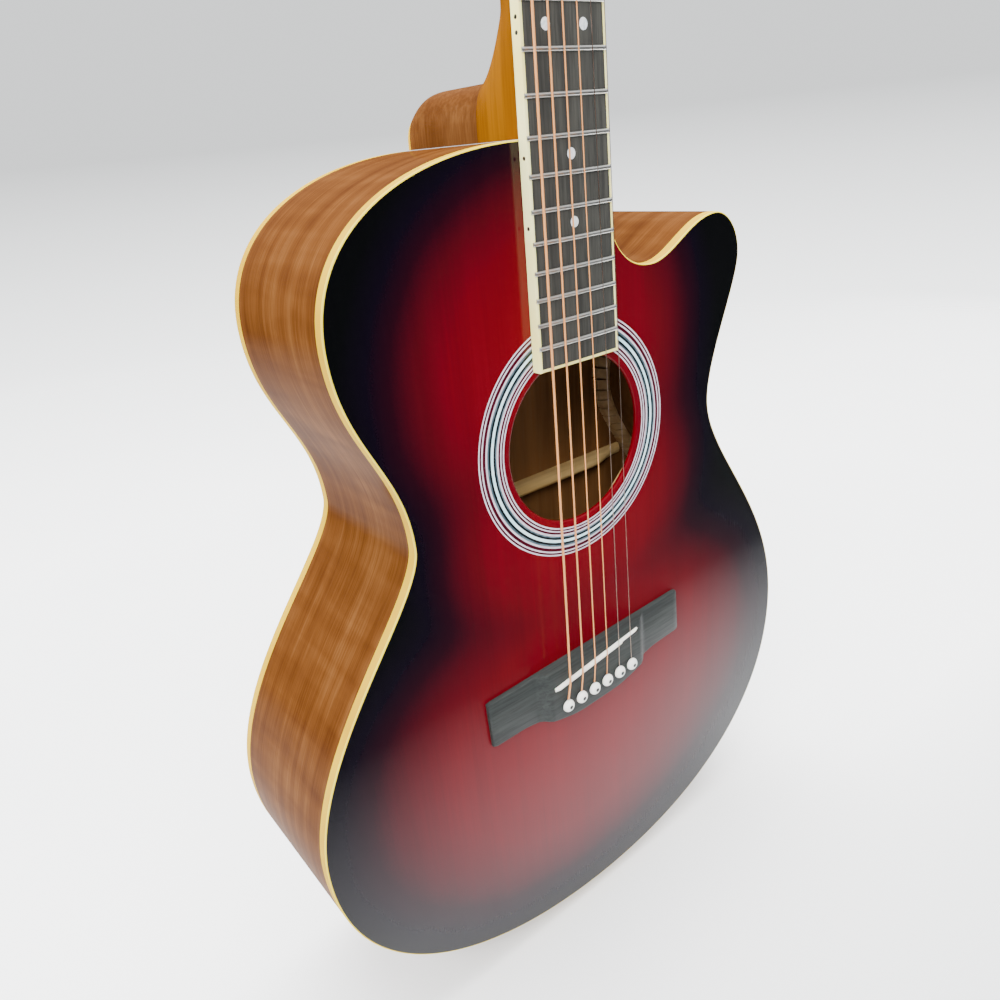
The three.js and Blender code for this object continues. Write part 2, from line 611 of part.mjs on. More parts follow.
// One plate per side, with a pair of ears to hold each worm.
function tunerPlate(side) {
  const x = side * POST.x;
  const [z0, z1] = [postZ(0) - PLATE.end, postZ(2) + PLATE.end + WORM.offset];
  const postHoles = ROWS.map((row) => circle(x, postZ(row), POST.radius + GAP, 10));
  const outline = rectangle(x - PLATE.halfWidth, x + PLATE.halfWidth, z0, z1);
  const plate = slab(outline, PLATE_Y, PLATE_Y + PLATE.thickness, postHoles);
  const ears = ROWS.flatMap((row) => [-1, 1].map((end) => {
    const z = postZ(row) + WORM.offset;
    const near = x + end * EAR.inner;
    const far = near + end * EAR.thickness;
    const [x0, x1] = [Math.min(near, far), Math.max(near, far)];
    return box(x0, x1, PLATE_Y + 0.2, SHAFT_Y + EAR.above, z - EAR.halfWidth, z + EAR.halfWidth);
  }));
  const bores = ROWS.map((row) => {
    const z = postZ(row) + WORM.offset;
    return rod(at(x - 12, SHAFT_Y, z), at(x + 12, SHAFT_Y, z), SHAFT.radius + GAP, 8);
  });
  return cut(join(plate, ...ears), ...bores);
}

// Post with its worm wheel: one turned piece on the axis square to the headstock.
function stringPost({ side, z }) {
  const r = POST.radius;
  const wheelStart = PLATE_Y + PLATE.thickness + WHEEL.lift;
  const wheelEnd = wheelStart + WHEEL.length + 1.2;
  const profile = [
    [0, -POST.stand], [r, -POST.stand], [r, -POST.stand + 6],
    [r - 0.8, -POST.stand + 8], [r - 0.8, -POST.stand + 11], [r, -POST.stand + 13], [r, wheelStart],
    [WHEEL.radius, wheelStart], [WHEEL.radius, wheelStart + WHEEL.length],
    [r - 0.6, wheelStart + WHEEL.length], [r - 0.6, wheelEnd], [0, wheelEnd],
  ];
  return turned(profile, at(side * POST.x, 0, z), TO_BACK, 10);
}

// Button, shaft and worm: the shaft runs across the headstock, past its edge.
function tunerButton({ side, z }) {
  const { radius, reach } = SHAFT;
  const halfWorm = WORM.length / 2;
  const profile = [
    [0, -EAR.inner - 2], [radius, -EAR.inner - 2], [radius, -halfWorm], [WORM.radius, -halfWorm],
    [WORM.radius, halfWorm], [radius, halfWorm], [radius, reach], [radius + 1.5, reach],
    [radius + 0.7, reach + 4], [0, reach + 4],
  ];
  const centre = at(side * POST.x, SHAFT_Y, z + WORM.offset);
  const shaft = turned(profile, centre, at(side, 0, 0), 8);
  const knob = new THREE.SphereGeometry(1, 8, 6)
    .scale(BUTTON.halfLength, BUTTON.halfThickness, BUTTON.halfWidth)
    .translate(centre.x + side * (reach + BUTTON.halfLength + 2), centre.y, centre.z);
  return join(shaft, knob);
}

function machineHeads() {
  piece('tuner_plate_bass', tunerPlate(-1), FINISHES.nickel, head);
  piece('tuner_plate_treble', tunerPlate(1), FINISHES.nickel, head);
  for (const machine of MACHINES) {
    piece(`string_post_${machine.label}`, stringPost(machine), FINISHES.nickel, head);
    piece(`tuner_button_${machine.label}`, tunerButton(machine), FINISHES.creamPlastic, head);
  }
}

// ---------- strings ----------

// Each string runs from its post, over the nut and the saddle, down to its bridge pin.
function stringPoints({ string, side, z }) {
  const radius = STRING_RADII[string];
  const postFace = at(side * (POST.x - POST.radius - radius - GAP), -POST.stand / 2, z - 1);
  const overNut = at(nutX(string), NUT_STRING_Y - radius, NUT_Z + NUT.length / 2);
  const x = saddleX(string);
  const overSaddle = at(x, SADDLE_STRING_Y - radius + GAP, saddleZ(x));
  const pin = pinSpot(string);
  const atPin = at(pin.x, -BRIDGE.height - 4 * GAP - radius, pin.z + PIN.headRadius + radius + GAP);
  return [postFace.applyMatrix4(head.matrix), overNut, overSaddle, atPin];
}

function strings() {
  for (const machine of MACHINES) {
    const { string, label } = machine;
    const points = stringPoints(machine);
    const rods = points.slice(1).map((end, index) => rod(points[index], end, STRING_RADII[string]));
    piece(`string_${label}`, join(...rods), string < 4 ? FINISHES.bronze : FINISHES.steel);
  }
}

bodyShell();
linings();
endBlocks();
topBraces();
bridgePlate();
backBraces();
bridgeParts();
endPin();
neckParts();
fingerboardParts();
headstockParts();
machineHeads();
strings();

export default guitar;
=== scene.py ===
import math

import bmesh
import bpy
import numpy as np
from mathutils import Matrix, Vector

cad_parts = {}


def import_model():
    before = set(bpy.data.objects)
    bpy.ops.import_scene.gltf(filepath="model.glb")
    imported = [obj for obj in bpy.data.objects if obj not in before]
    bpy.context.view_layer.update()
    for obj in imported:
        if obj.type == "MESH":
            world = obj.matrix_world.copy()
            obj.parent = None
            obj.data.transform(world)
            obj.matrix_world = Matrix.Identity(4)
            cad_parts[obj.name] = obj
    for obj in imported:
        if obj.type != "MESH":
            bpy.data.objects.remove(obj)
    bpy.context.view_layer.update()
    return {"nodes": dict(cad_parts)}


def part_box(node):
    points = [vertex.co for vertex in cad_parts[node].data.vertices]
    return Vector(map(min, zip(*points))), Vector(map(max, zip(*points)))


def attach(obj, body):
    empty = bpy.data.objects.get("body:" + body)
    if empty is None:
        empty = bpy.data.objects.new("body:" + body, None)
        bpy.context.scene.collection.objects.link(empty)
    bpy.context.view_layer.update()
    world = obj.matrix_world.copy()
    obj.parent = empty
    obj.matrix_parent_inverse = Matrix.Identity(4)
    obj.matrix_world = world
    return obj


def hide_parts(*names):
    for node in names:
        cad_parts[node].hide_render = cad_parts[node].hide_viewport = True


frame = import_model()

# ---------------------------------------------------------------- driving dimensions (mm)
# In the guitar's own space x is across, y = 0 is the soundboard's face (+y to the back)
# and z = 0 is the tail of the body. Head space is the same, tilted back, from the nut.

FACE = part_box("soundboard")[0].y * 1000
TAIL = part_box("top_binding")[0].z * 1000
SCALE_LENGTH = 650
BODY_LENGTH = 484
NUT_Z = BODY_LENGTH + SCALE_LENGTH * (1 - 2 ** (-14 / 12))
DEPTH_AT_TAIL, DEPTH_AT_NECK = 108, 93
PLATE, BINDING_WIDTH, BINDING_DEPTH = 3, 2, 6
EDGE = 0.75                  # rounding of the bindings
SEAM = 0.03                  # gap between glued pieces
HOLE_Z = 331.5
ROSETTE_OUTER, ROSETTE_INNER, ROSETTE_DEPTH = 68.33, 51.62, 0.85
LINING_START, LINING_WIDTH, LINING_LIP = 2.35, 5.4, 1.8
KERF_PITCH, KERF, KERF_FLOOR = 7.2, 1.3, 1.2
END_PIN_Z = 52
BOARD_END, BOARD_TOP, BOARD_RADIUS = 375.5, -6.5, 620
BOARD_UNDER, BOARD_EDGING = -0.32, 1.6
HEAD_TILT = math.radians(14)
HEAD_THICK, HEAD_LENGTH, BUSHING_HOLE = 15, 176, 4.25
PIN_Z, PIN_SPACING, PIN_HOLE, BRIDGE_TURN = 171.5, 11.07, 2.8, 0.035
SADDLE_X, SADDLE_Z, SADDLE_SLOPE, SADDLE_HALF = -1, 190.5, 0.14, 35.5
NUT_SPACING, SADDLE_SPACING, NUT_SLOT_Y = 7.2, 10.49, -8.9
STRING_RADII = [0.67, 0.53, 0.41, 0.31, 0.2, 0.16]
MACHINES = [(6, -1, 44), (5, -1, 82), (4, -1, 120), (3, 1, 120), (2, 1, 82), (1, 1, 44)]
SHAFT_Y, WORM_OFFSET, POST_X, POST_WAIST_Y = 19.95, 8.9, 22, -9.5
PLATE_BACK = 16.5            # back face of the tuner plates, in head space


def bezier(points, steps):
    a, b, c, d = (np.array(p, float) for p in points)
    t = np.linspace(0, 1, steps, endpoint=False)[:, None]
    return (1 - t) ** 3 * a + 3 * (1 - t) ** 2 * t * b + 3 * (1 - t) * t * t * c + t ** 3 * d


def body_outline(spacing=3.2):
    curves = [
        [(0, 0), (109, 0), (190, 56), (190, 146)],
        [(190, 146), (190, 228), (112.5, 285), (112.5, 325)],
        [(112.5, 325), (112.5, 352), (139.5, 392), (139.5, 410)],
        [(139.5, 410), (139.5, 424), (129, 436), (117, 436)],
        [(117, 436), (95, 436), (80, 415.8), (62, 415.8)],
        [(62, 415.8), (40, 415.8), (25, 432), (25, 484)],
        [(25, 484), (8, 484), (-10, 484), (-27, 484)],
        [(-27, 484), (-83, 484), (-140, 463), (-140, 410)],
        [(-140, 410), (-140, 365), (-111, 349), (-111, 306)],
        [(-111, 306), (-111, 276), (-190, 218), (-190, 146)],
        [(-190, 146), (-190, 56), (-109, 0), (0, 0)],
    ]
    parts = []
    for curve in curves:
        rough = bezier(curve, 60)
        length = np.linalg.norm(np.diff(rough, axis=0), axis=1).sum()
        parts.append(bezier(curve, max(4, round(length / spacing))))
    return np.vstack(parts)


def inset(points, distance):
    before = points - np.roll(points, 1, axis=0)
    after = np.roll(points, -1, axis=0) - points
    before /= np.linalg.norm(before, axis=1)[:, None]
    after /= np.linalg.norm(after, axis=1)[:, None]
    normal = np.stack([-before[:, 1] - after[:, 1], before[:, 0] + after[:, 0]], axis=1)
    reach = distance / (1 + (before * after).sum(axis=1))
    return points + normal * reach[:, None]


OUTLINE = body_outline()
STEPS = np.linalg.norm(np.roll(OUTLINE, -1, axis=0) - OUTLINE, axis=1)
RUN = np.concatenate([[0], np.cumsum(STEPS)])


def back_y(z):
    return DEPTH_AT_TAIL + (DEPTH_AT_NECK - DEPTH_AT_TAIL) * np.asarray(z, float) / BODY_LENGTH


def before_back(distance):
    """A depth that stays the same distance in front of the sloping back."""
    return lambda z: back_y(z) - distance


def board_half(z):
    return 21.5 + (28 - 21.5) * (NUT_Z - z) / (NUT_Z - BOARD_END)


def fret_z(number):
    return NUT_Z - SCALE_LENGTH * (1 - 2 ** (-number / 12))


def crown(x):
    return x * x / (2 * BOARD_RADIUS)


def string_x(index, spacing):
    return (index - 2.5) * spacing


def saddle_z(x):
    return SADDLE_Z + SADDLE_SLOPE * (x - SADDLE_X)


def pin_spots():
    along = [string_x(i, PIN_SPACING) for i in range(6)]
    return [(a * math.cos(BRIDGE_TURN), PIN_Z + a * math.sin(BRIDGE_TURN)) for a in along]


def head_to_body(points):
    x, y, z = np.asarray(points, float).T
    c, s = math.cos(HEAD_TILT), math.sin(HEAD_TILT)
    return np.stack([x, y * c + z * s, NUT_Z + 5 - y * s + z * c], axis=1)


def smooth_step(t):
    t = max(0.0, min(1.0, t))
    return t * t * (3 - 2 * t)


# ---------------------------------------------------------------- mesh helpers


def new_object(name, vertices, faces):
    """A mesh object in the scene, from points in mm."""
    points = (np.asarray(vertices, float) + np.array([0, FACE, TAIL])) / 1000
    mesh = bpy.data.meshes.new(name)
    mesh.from_pydata([tuple(p) for p in points], [], [list(map(int, f)) for f in faces])
    piece = bpy.data.objects.new(name, mesh)
    bpy.context.scene.collection.objects.link(piece)
    return piece


def make(name, solid, materials, node=None, slot=None, body="root", head=False, uv=None,
         sharp=40, bevel=0.0):
    """A finished piece from (vertices, faces) in mm, or with each face's material number as well."""
    vertices, faces, *tags = solid
    piece = new_object(name, head_to_body(vertices) if head else vertices, faces)
    mesh = piece.data
    for material in materials if isinstance(materials, list) else [materials]:
        mesh.materials.append(material)
    if tags:
        mesh.polygons.foreach_set("material_index", np.array(tags[0], np.int32))
    if uv is not None:
        layer = mesh.uv_layers.new(name="along")
        corners = np.zeros(len(mesh.loops), np.int32)
        mesh.loops.foreach_get("vertex_index", corners)
        layer.data.foreach_set("uv", np.asarray(uv, np.float32)[corners].ravel())
    finish_mesh(piece, sharp)
    if bevel:
        add_bevel(piece, bevel)
    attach(piece, body)
    if node:
        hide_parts(node)
    return piece


def finish_mesh(piece, sharp=40):
    """Turns the faces outwards and shades them smooth, but for edges above `sharp` degrees."""
    work = bmesh.new()
    work.from_mesh(piece.data)
    bmesh.ops.recalc_face_normals(work, faces=work.faces)
    for face in work.faces:
        face.smooth = True
    for edge in work.edges:
        if len(edge.link_faces) == 2:
            edge.smooth = edge.calc_face_angle(0) < math.radians(sharp)
    work.to_mesh(piece.data)
    work.free()


def add_bevel(piece, width_mm, segments=3, angle=35):
    bevel = piece.modifiers.new("edge", "BEVEL")
    bevel.width = width_mm / 1000
    bevel.segments = segments
    bevel.limit_method = "ANGLE"
    bevel.angle_limit = math.radians(angle)
    bevel.harden_normals = True
    bevel.use_clamp_overlap = True


def apply_modifiers(piece):
    graph = bpy.context.evaluated_depsgraph_get()
    graph.update()
    mesh = bpy.data.meshes.new_from_object(piece.evaluated_get(graph), depsgraph=graph)
    piece.modifiers.clear()
    piece.data = mesh


def loft(rings, closed_path=False):
    """Quads between closed rings of the same count, one after another, with caps at open ends."""
    rings = [np.asarray(r, float) for r in rings]
    count = len(rings[0])
    faces = []
    for k in range(len(rings) if closed_path else len(rings) - 1):
        a, b = k * count, ((k + 1) % len(rings)) * count
        for i in range(count):
            j = (i + 1) % count
            faces.append((a + i, a + j, b + j, b + i))
    if not closed_path:
        faces.append(tuple(range(count)))
        faces.append(tuple(range((len(rings) - 1) * count, len(rings) * count)))
    return np.vstack(rings), faces


def axis_frame(direction):
    d = np.array(direction, float)
    d /= np.linalg.norm(d)
    other = np.array([0, 0, 1.0]) if abs(d[2]) < 0.8 else np.array([1.0, 0, 0])
    u = np.cross(d, other)
    u /= np.linalg.norm(u)
    return d, u, np.cross(d, u)


def turn_angles(count):
    return np.arange(count) / count * 2 * math.pi


def ring_at(centre, radii, angles, u, v):
    return centre + radii * (np.cos(angles)[:, None] * u + np.sin(angles)[:, None] * v)


def turned(profile, origin, direction, segments=32, shape=None, closed_path=False):
    """A round piece on an axis. The profile is (radius, distance) pairs from end to end."""
    d, u, v = axis_frame(direction)
    angles = turn_angles(segments)
    rings = []
    for radius, along in profile:
        radii = np.full(segments, max(radius, 0.02))
        if shape:
            radii = shape(radii, along, angles)
        rings.append(ring_at(np.array(origin, float) + d * along, radii[:, None], angles, u, v))
    return loft(rings, closed_path)


def tube(path, radius, segments):
    """A round wire along a path, with its length as the first texture coordinate."""
    path = np.asarray(path, float)
    tangents = np.gradient(path, axis=0)
    tangents /= np.linalg.norm(tangents, axis=1)[:, None]
    _, u, _ = axis_frame(tangents[0])
    rings, lengths, run = [], [], 0.0
    for k, (point, tangent) in enumerate(zip(path, tangents)):
        if k:
            run += np.linalg.norm(point - path[k - 1])
        u = u - tangent * u.dot(tangent)
        u /= np.linalg.norm(u)
        rings.append(ring_at(point, radius, turn_angles(segments), u, np.cross(tangent, u)))
        lengths.append(run)
    uv = [(length / 1000, a / segments) for length in lengths for a in range(segments)]
    return loft(rings), uv


def grouped(*groups):
    """Lists of solids as one, tagged with the number of the list that each face is from."""
    vertices, faces, tags, start = [], [], [], 0
    for number, group in enumerate(groups):
        for points, polygons in group:
            vertices.append(np.asarray(points, float))
            faces += [tuple(i + start for i in f) for f in polygons]
            tags += [number] * len(polygons)
            start += len(points)
    return np.vstack(vertices), faces, tags


def fill(loops):
    """Triangles of a flat region: the first loop is its border and the others are holes."""
    work = bmesh.new()
    for loop in loops:
        corners = [work.verts.new((x, z, 0)) for x, z in loop]
        for i, corner in enumerate(corners):
            work.edges.new((corner, corners[(i + 1) % len(corners)]))
    work.verts.index_update()
    bmesh.ops.triangle_fill(work, use_beauty=True, use_dissolve=False, edges=work.edges[:])
    work.verts.index_update()
    faces = [tuple(v.index for v in f.verts) for f in work.faces]
    work.free()
    return faces


def circle(x, z, radius, count):
    a = turn_angles(count)
    return np.stack([x + radius * np.cos(a), z + radius * np.sin(a)], axis=1)


class Shell:
    """Collects loops at a depth, bands between them and filled flat regions, tagged by material."""

    def __init__(self):
        self.vertices, self.faces, self.tags = [], [], []

    def loop(self, flat, y):
        start = len(self.vertices)
        for x, z in flat:
            self.vertices.append((x, float(y(z) if callable(y) else y), z))
        return start, len(flat)

    def band(self, a, b, tag=0):
        for i in range(a[1]):
            j = (i + 1) % a[1]
            self.faces.append((a[0] + i, a[0] + j, b[0] + j, b[0] + i))
            self.tags.append(tag)

    def fill(self, loops, tag=0):
        lookup = [s + i for s, n in loops for i in range(n)]
        flats = [[self.vertices[s + i][::2] for i in range(n)] for s, n in loops]
        for face in fill(flats):
            self.faces.append(tuple(lookup[i] for i in face))
            self.tags.append(tag)

    def solid(self):
        return self.vertices, self.faces, self.tags


def prism(flat, y0, y1, holes=()):
    """A plate with a flat outline in x and z, from y0 to y1."""
    s = Shell()
    loops = [flat, *holes]
    front = [s.loop(loop, y0) for loop in loops]
    back = [s.loop(loop, y1) for loop in loops]
    s.fill(front)
    s.fill(back)
    for a, b in zip(front, back):
        s.band(a, b)
    return s.vertices, s.faces


def carve(piece, cutters):
    """Takes closed solids away from a piece, one after another."""
    for solid in cutters:
        cutter = new_object("cutter", *solid)
        finish_mesh(cutter)
        cut = piece.modifiers.new("cut", "BOOLEAN")
        cut.operation, cut.solver, cut.object = "DIFFERENCE", "EXACT", cutter
        bpy.context.view_layer.update()
        apply_modifiers(piece)
        bpy.data.objects.remove(cutter)
    finish_mesh(piece)


def box(x0, x1, y0, y1, z0, z1):
    return prism([(x0, z0), (x1, z0), (x1, z1), (x0, z1)], y0, y1)


# ---------------------------------------------------------------- materials


class Graph:
    """A node material being built. Inputs may be numbers, colours or other nodes' outputs."""

    def __init__(self, name):
        self.material = bpy.data.materials.new(name)
        self.material.use_nodes = True
        self.tree = self.material.node_tree
        self.shader = self.tree.nodes["Principled BSDF"]
        coordinates = self.node("ShaderNodeTexCoord").outputs
        self.place, self.wrapped = coordinates["Object"], coordinates["UV"]

    def set(self, node, key, value):
        target = node.inputs[key]
        if isinstance(value, bpy.types.NodeSocket):
            self.tree.links.new(value, target)
        elif target.type == "RGBA" and len(value) == 3:
            target.default_value = (*value, 1)
        else:
            target.default_value = value

    def node(self, kind, *inputs, named=None, **settings):
        node = self.tree.nodes.new(kind)
        for key, value in settings.items():
            setattr(node, key, value)
        for key, value in [*enumerate(inputs), *(named or {}).items()]:
            self.set(node, key, value)
        return node

    def math(self, operation, a, b=0.0, c=0.0):
        return self.node("ShaderNodeMath", a, b, c, operation=operation).outputs[0]

    def times(self, a, b):
        return self.math("MULTIPLY", a, b)

    def distance(self, a, b):
        return self.math("SQRT", self.math("ADD", self.times(a, a), self.times(b, b)))

    def mix(self, factor, a, b, kind="MIX"):
        node = self.node("ShaderNodeMix", factor, data_type="RGBA", blend_type=kind)
        self.set(node, 6, a)
        self.set(node, 7, b)
        return node.outputs[2]

    def split(self, vector):
        return self.node("ShaderNodeSeparateXYZ", vector).outputs

    def vector(self, x, y, z):
        return self.node("ShaderNodeCombineXYZ", x, y, z).outputs[0]

    def noise(self, scale, detail, roughness=0.5, distortion=0.0, at=None):
        """Noise in object space. Three scales stretch it along the axes."""
        at = self.place if at is None else at
        if isinstance(scale, tuple):
            stretch = {"Vector": at, "Scale": scale}
            at, scale = self.node("ShaderNodeMapping", named=stretch).outputs[0], 1
        return self.node("ShaderNodeTexNoise", named={
            "Vector": at, "Scale": scale, "Detail": detail, "Roughness": roughness,
            "Distortion": distortion}).outputs[0]

    def ramp(self, factor, stops):
        node = self.node("ShaderNodeValToRGB", factor)
        elements = node.color_ramp.elements
        while len(elements) < len(stops):
            elements.new(0.5)
        for element, (position, colour) in zip(elements, stops):
            element.position = position
            element.color = (*colour, 1) if isinstance(colour, tuple) else (colour,) * 3 + (1,)
        return node.outputs[0]

    def remap(self, value, low, high, new_low, new_high):
        return self.node("ShaderNodeMapRange", value, low, high, new_low, new_high).outputs[0]

    def rough(self, noise, at_low, at_high):
        return self.remap(noise, 0.3, 0.7, at_low, at_high)

    def bump(self, height, distance_mm, strength):
        return self.node("ShaderNodeBump", named={
            "Height": height, "Distance": distance_mm / 1000, "Strength": strength}).outputs[0]

    def finish(self, **sockets):
        for key, value in sockets.items():
            self.set(self.shader, key.replace("_", " "), value)
        return self.material


def lacquer_bump(g):
    """The slight unevenness of a sprayed and polished coat."""
    soft, fine = g.noise(14, 1.5), g.noise(420, 2)
    return g.bump(g.math("MULTIPLY_ADD", fine, 0.012, soft), 0.35, 0.5)


def burst():
    """Deep transparent red fading to black towards the rim, over straight-grained spruce."""
    g = Graph("burst_lacquer")
    x, _, z = g.split(g.place)

    def ellipse(cx, cz, rx, rz):
        dx = g.math("DIVIDE", g.math("SUBTRACT", x, cx / 1000), rx / 1000)
        dz = g.math("DIVIDE", g.math("SUBTRACT", z, (cz + TAIL) / 1000), rz / 1000)
        return g.distance(dx, dz)

    lower = ellipse(0, 147, 166, 124)
    upper = ellipse(-10, 375, 106, 104)
    waist = ellipse(0, 288, 101, 92)
    field = g.math("SMOOTH_MIN", g.math("SMOOTH_MIN", lower, upper, 0.25), waist, 0.25)
    drift, speckle = g.noise(9, 3), g.noise(900, 2)
    field = g.math("ADD", field, g.math("MULTIPLY_ADD", drift, 0.12, -0.06))
    field = g.math("ADD", field, g.math("MULTIPLY_ADD", speckle, 0.05, -0.025))
    colour = g.ramp(g.remap(field, 0.3, 1.3, 0, 1), [
        (0.00, (0.145, 0.0001, 0.0045)), (0.36, (0.108, 0.0001, 0.0042)),
        (0.56, (0.054, 0.0001, 0.0040)), (0.68, (0.014, 0.0002, 0.0042)),
        (0.79, (0.0026, 0.0008, 0.0050)), (0.92, (0.0010, 0.0012, 0.0015))])
    lines, broad = g.noise((620, 1, 9), 3, 0.6), g.noise((90, 1, 3), 2)
    grain = g.math("MULTIPLY_ADD", lines, 0.5, g.times(broad, 0.35))
    colour = g.mix(1.0, colour, g.ramp(grain, [(0.2, 0.72), (0.62, 1.0)]), "MULTIPLY")
    return g.finish(Base_Color=colour, Roughness=g.rough(lines, 0.42, 0.5),
                    Specular_IOR_Level=0.04, Coat_Weight=0.8, Coat_Roughness=0.04, Coat_IOR=1.36,
                    Coat_Normal=lacquer_bump(g), Normal=g.bump(lines, 0.03, 0.35))


def stretched(axis, along, across):
    """Noise scales for grain that runs along one axis."""
    return tuple(along if name == axis else across for name in "XYZ")


def raw_wood(name, axis, tone, dark):
    g = Graph(name)
    lines = g.noise(stretched(axis, 12, 420), 4, 0.6)
    years = g.noise(stretched(axis, 4, 70), 2, 0.5, 0.4)
    colour = g.mix(g.remap(years, 0.35, 0.65, 0, 1), dark, tone)
    colour = g.mix(g.remap(lines, 0.3, 0.7, 0.35, 0), colour, (0.25, 0.13, 0.05))
    return g.finish(Base_Color=colour, Roughness=g.remap(lines, 0.2, 0.8, 0.6, 0.8),
                    Specular_IOR_Level=0.3, Normal=g.bump(lines, 0.12, 0.5))


def figured(g, along, across, deep, rippled=0.30):
    """Mahogany colour from a lengthwise and two crosswise coordinates, in metres."""

    def noise(scales, *settings):
        axes = [g.times(axis, scale) for axis, scale in zip((along, across, deep), scales)]
        return g.noise(1, *settings, at=g.vector(*axes))

    pores = noise((26, 900, 500), 4, 0.65)
    streak = noise((3.2, 95, 60), 4, 0.55, 0.5)
    ripple = noise((62, 9, 9), 2, 0.5, 0.6)
    cloud = noise((7, 7, 7), 2)
    figure = g.math("MULTIPLY_ADD", cloud, 0.2, g.times(streak, 0.8 - rippled))
    colour = g.ramp(g.math("MULTIPLY_ADD", ripple, rippled, figure), [
        (0.34, (0.056, 0.018, 0.0045)), (0.5, (0.094, 0.034, 0.0085)), (0.66, (0.150, 0.062, 0.018))])
    return g.mix(g.remap(pores, 0.40, 0.62, 0.38, 0.0), colour, (0.034, 0.008, 0.001)), pores


def mahogany(name, kind):
    """Glossy mahogany: "side" runs round the body, "back" is two mirrored halves, "heel" upright."""
    g = Graph(name)
    x, y, z = g.split(g.wrapped if kind == "side" else g.place)
    if kind == "side":
        colour, pores = figured(g, x, y, 0.0)
    elif kind == "back":
        mirrored = g.math("ABSOLUTE", x)
        colour, pores = figured(g, z, mirrored, y, 0.08)
        seam = g.remap(mirrored, 0.0002, 0.0006, 0.6, 0)
        colour = g.mix(seam, colour, (0.05, 0.015, 0.004))
    else:
        colour, pores = figured(g, z, x, y)
    return g.finish(Base_Color=colour, Roughness=g.rough(pores, 0.42, 0.34),
                    Specular_IOR_Level=0.0, Coat_Weight=0.12, Coat_Roughness=0.12, Coat_IOR=1.3,
                    Coat_Normal=lacquer_bump(g), Normal=g.bump(pores, 0.05, 0.35))


def neck_wood():
    g = Graph("neck_amber")
    pores = g.noise((650, 650, 18), 3, 0.6)
    streak = g.noise((55, 55, 2.5), 3, 0.5, 0.4)
    colour = g.ramp(streak, [
        (0.32, (0.110, 0.034, 0.0003)), (0.5, (0.155, 0.052, 0.0005)), (0.68, (0.21, 0.076, 0.0010))])
    colour = g.mix(g.remap(pores, 0.36, 0.55, 0.3, 0.0), colour, (0.075, 0.024, 0.001))
    return g.finish(Base_Color=colour, Roughness=g.rough(pores, 0.4, 0.33),
                    Specular_IOR_Level=0.0, Coat_Weight=0.3, Coat_Roughness=0.12, Coat_IOR=1.34,
                    Coat_Normal=lacquer_bump(g), Normal=g.bump(pores, 0.03, 0.3))


def dark_wood(name, axis, light, dark):
    """Open-pored dark wood with a dry satin surface."""
    g = Graph(name)
    pores = g.noise(stretched(axis, 28, 620), 4, 0.7)
    bands = g.noise(stretched(axis, 6, 120), 3, 0.6, 0.5)
    colour = g.mix(g.remap(bands, 0.35, 0.65, 0.1, 1), dark, light)
    colour = g.mix(g.remap(pores, 0.38, 0.56, 0.5, 0), colour, (0.012, 0.012, 0.012))
    return g.finish(Base_Color=colour, Roughness=g.rough(pores, 0.62, 0.48),
                    Specular_IOR_Level=0.3, Normal=g.bump(pores, 0.1, 0.6))


def plastic(name, colour, warm, coat=0.1):
    g = Graph(name)
    cloud, fine = g.noise(26, 3), g.noise(700, 2)
    tint = g.mix(g.remap(cloud, 0.4, 0.7, 0, 0.75), colour, warm)
    return g.finish(Base_Color=tint, Roughness=g.rough(fine, 0.3, 0.4),
                    Specular_IOR_Level=0.0, Subsurface_Weight=0.12, Subsurface_Scale=0.002,
                    Coat_Weight=coat, Coat_Roughness=0.08, Coat_IOR=1.36,
                    Normal=g.bump(fine, 0.01, 0.4))


def inlay(name, colour, mottle):
    g = Graph(name)
    chips = g.noise(260, 2)
    tint = g.mix(g.remap(chips, 0.42, 0.6, 0, 1), colour, mottle)
    return g.finish(Base_Color=tint, Roughness=g.rough(chips, 0.28, 0.36),
                    Specular_IOR_Level=0.1, Coat_Weight=0.8, Coat_Roughness=0.04, Coat_IOR=1.36,
                    Coat_Normal=lacquer_bump(g))


def bone():
    g = Graph("bone")
    grain = g.noise((240, 900, 900), 3)
    tint = g.mix(g.remap(grain, 0.4, 0.7, 0, 0.6), (0.88, 0.86, 0.78), (0.78, 0.73, 0.58))
    return g.finish(Base_Color=tint, Roughness=g.rough(grain, 0.28, 0.42),
                    Subsurface_Weight=0.15, Subsurface_Scale=0.002, Normal=g.bump(grain, 0.02, 0.3))


def pearl():
    g = Graph("pearl")
    swirl = g.noise(240, 3, 0.5, 1.5)
    tint = g.ramp(swirl, [
        (0.3, (0.50, 0.57, 0.60)), (0.5, (0.78, 0.80, 0.78)), (0.7, (0.62, 0.60, 0.68))])
    return g.finish(Base_Color=tint, Roughness=g.rough(swirl, 0.2, 0.34),
                    Coat_Weight=0.6, Coat_Roughness=0.08)


def metal(name, colour, tarnish, rough, brushed=900):
    g = Graph(name)
    wear, lines = g.noise(130, 4), g.noise(brushed, 3)
    tint = g.mix(g.remap(wear, 0.45, 0.75, 0, 0.7), colour, tarnish)
    return g.finish(Base_Color=tint, Metallic=1.0, Roughness=g.rough(lines, *rough),
                    Normal=g.bump(lines, 0.008, 0.3))


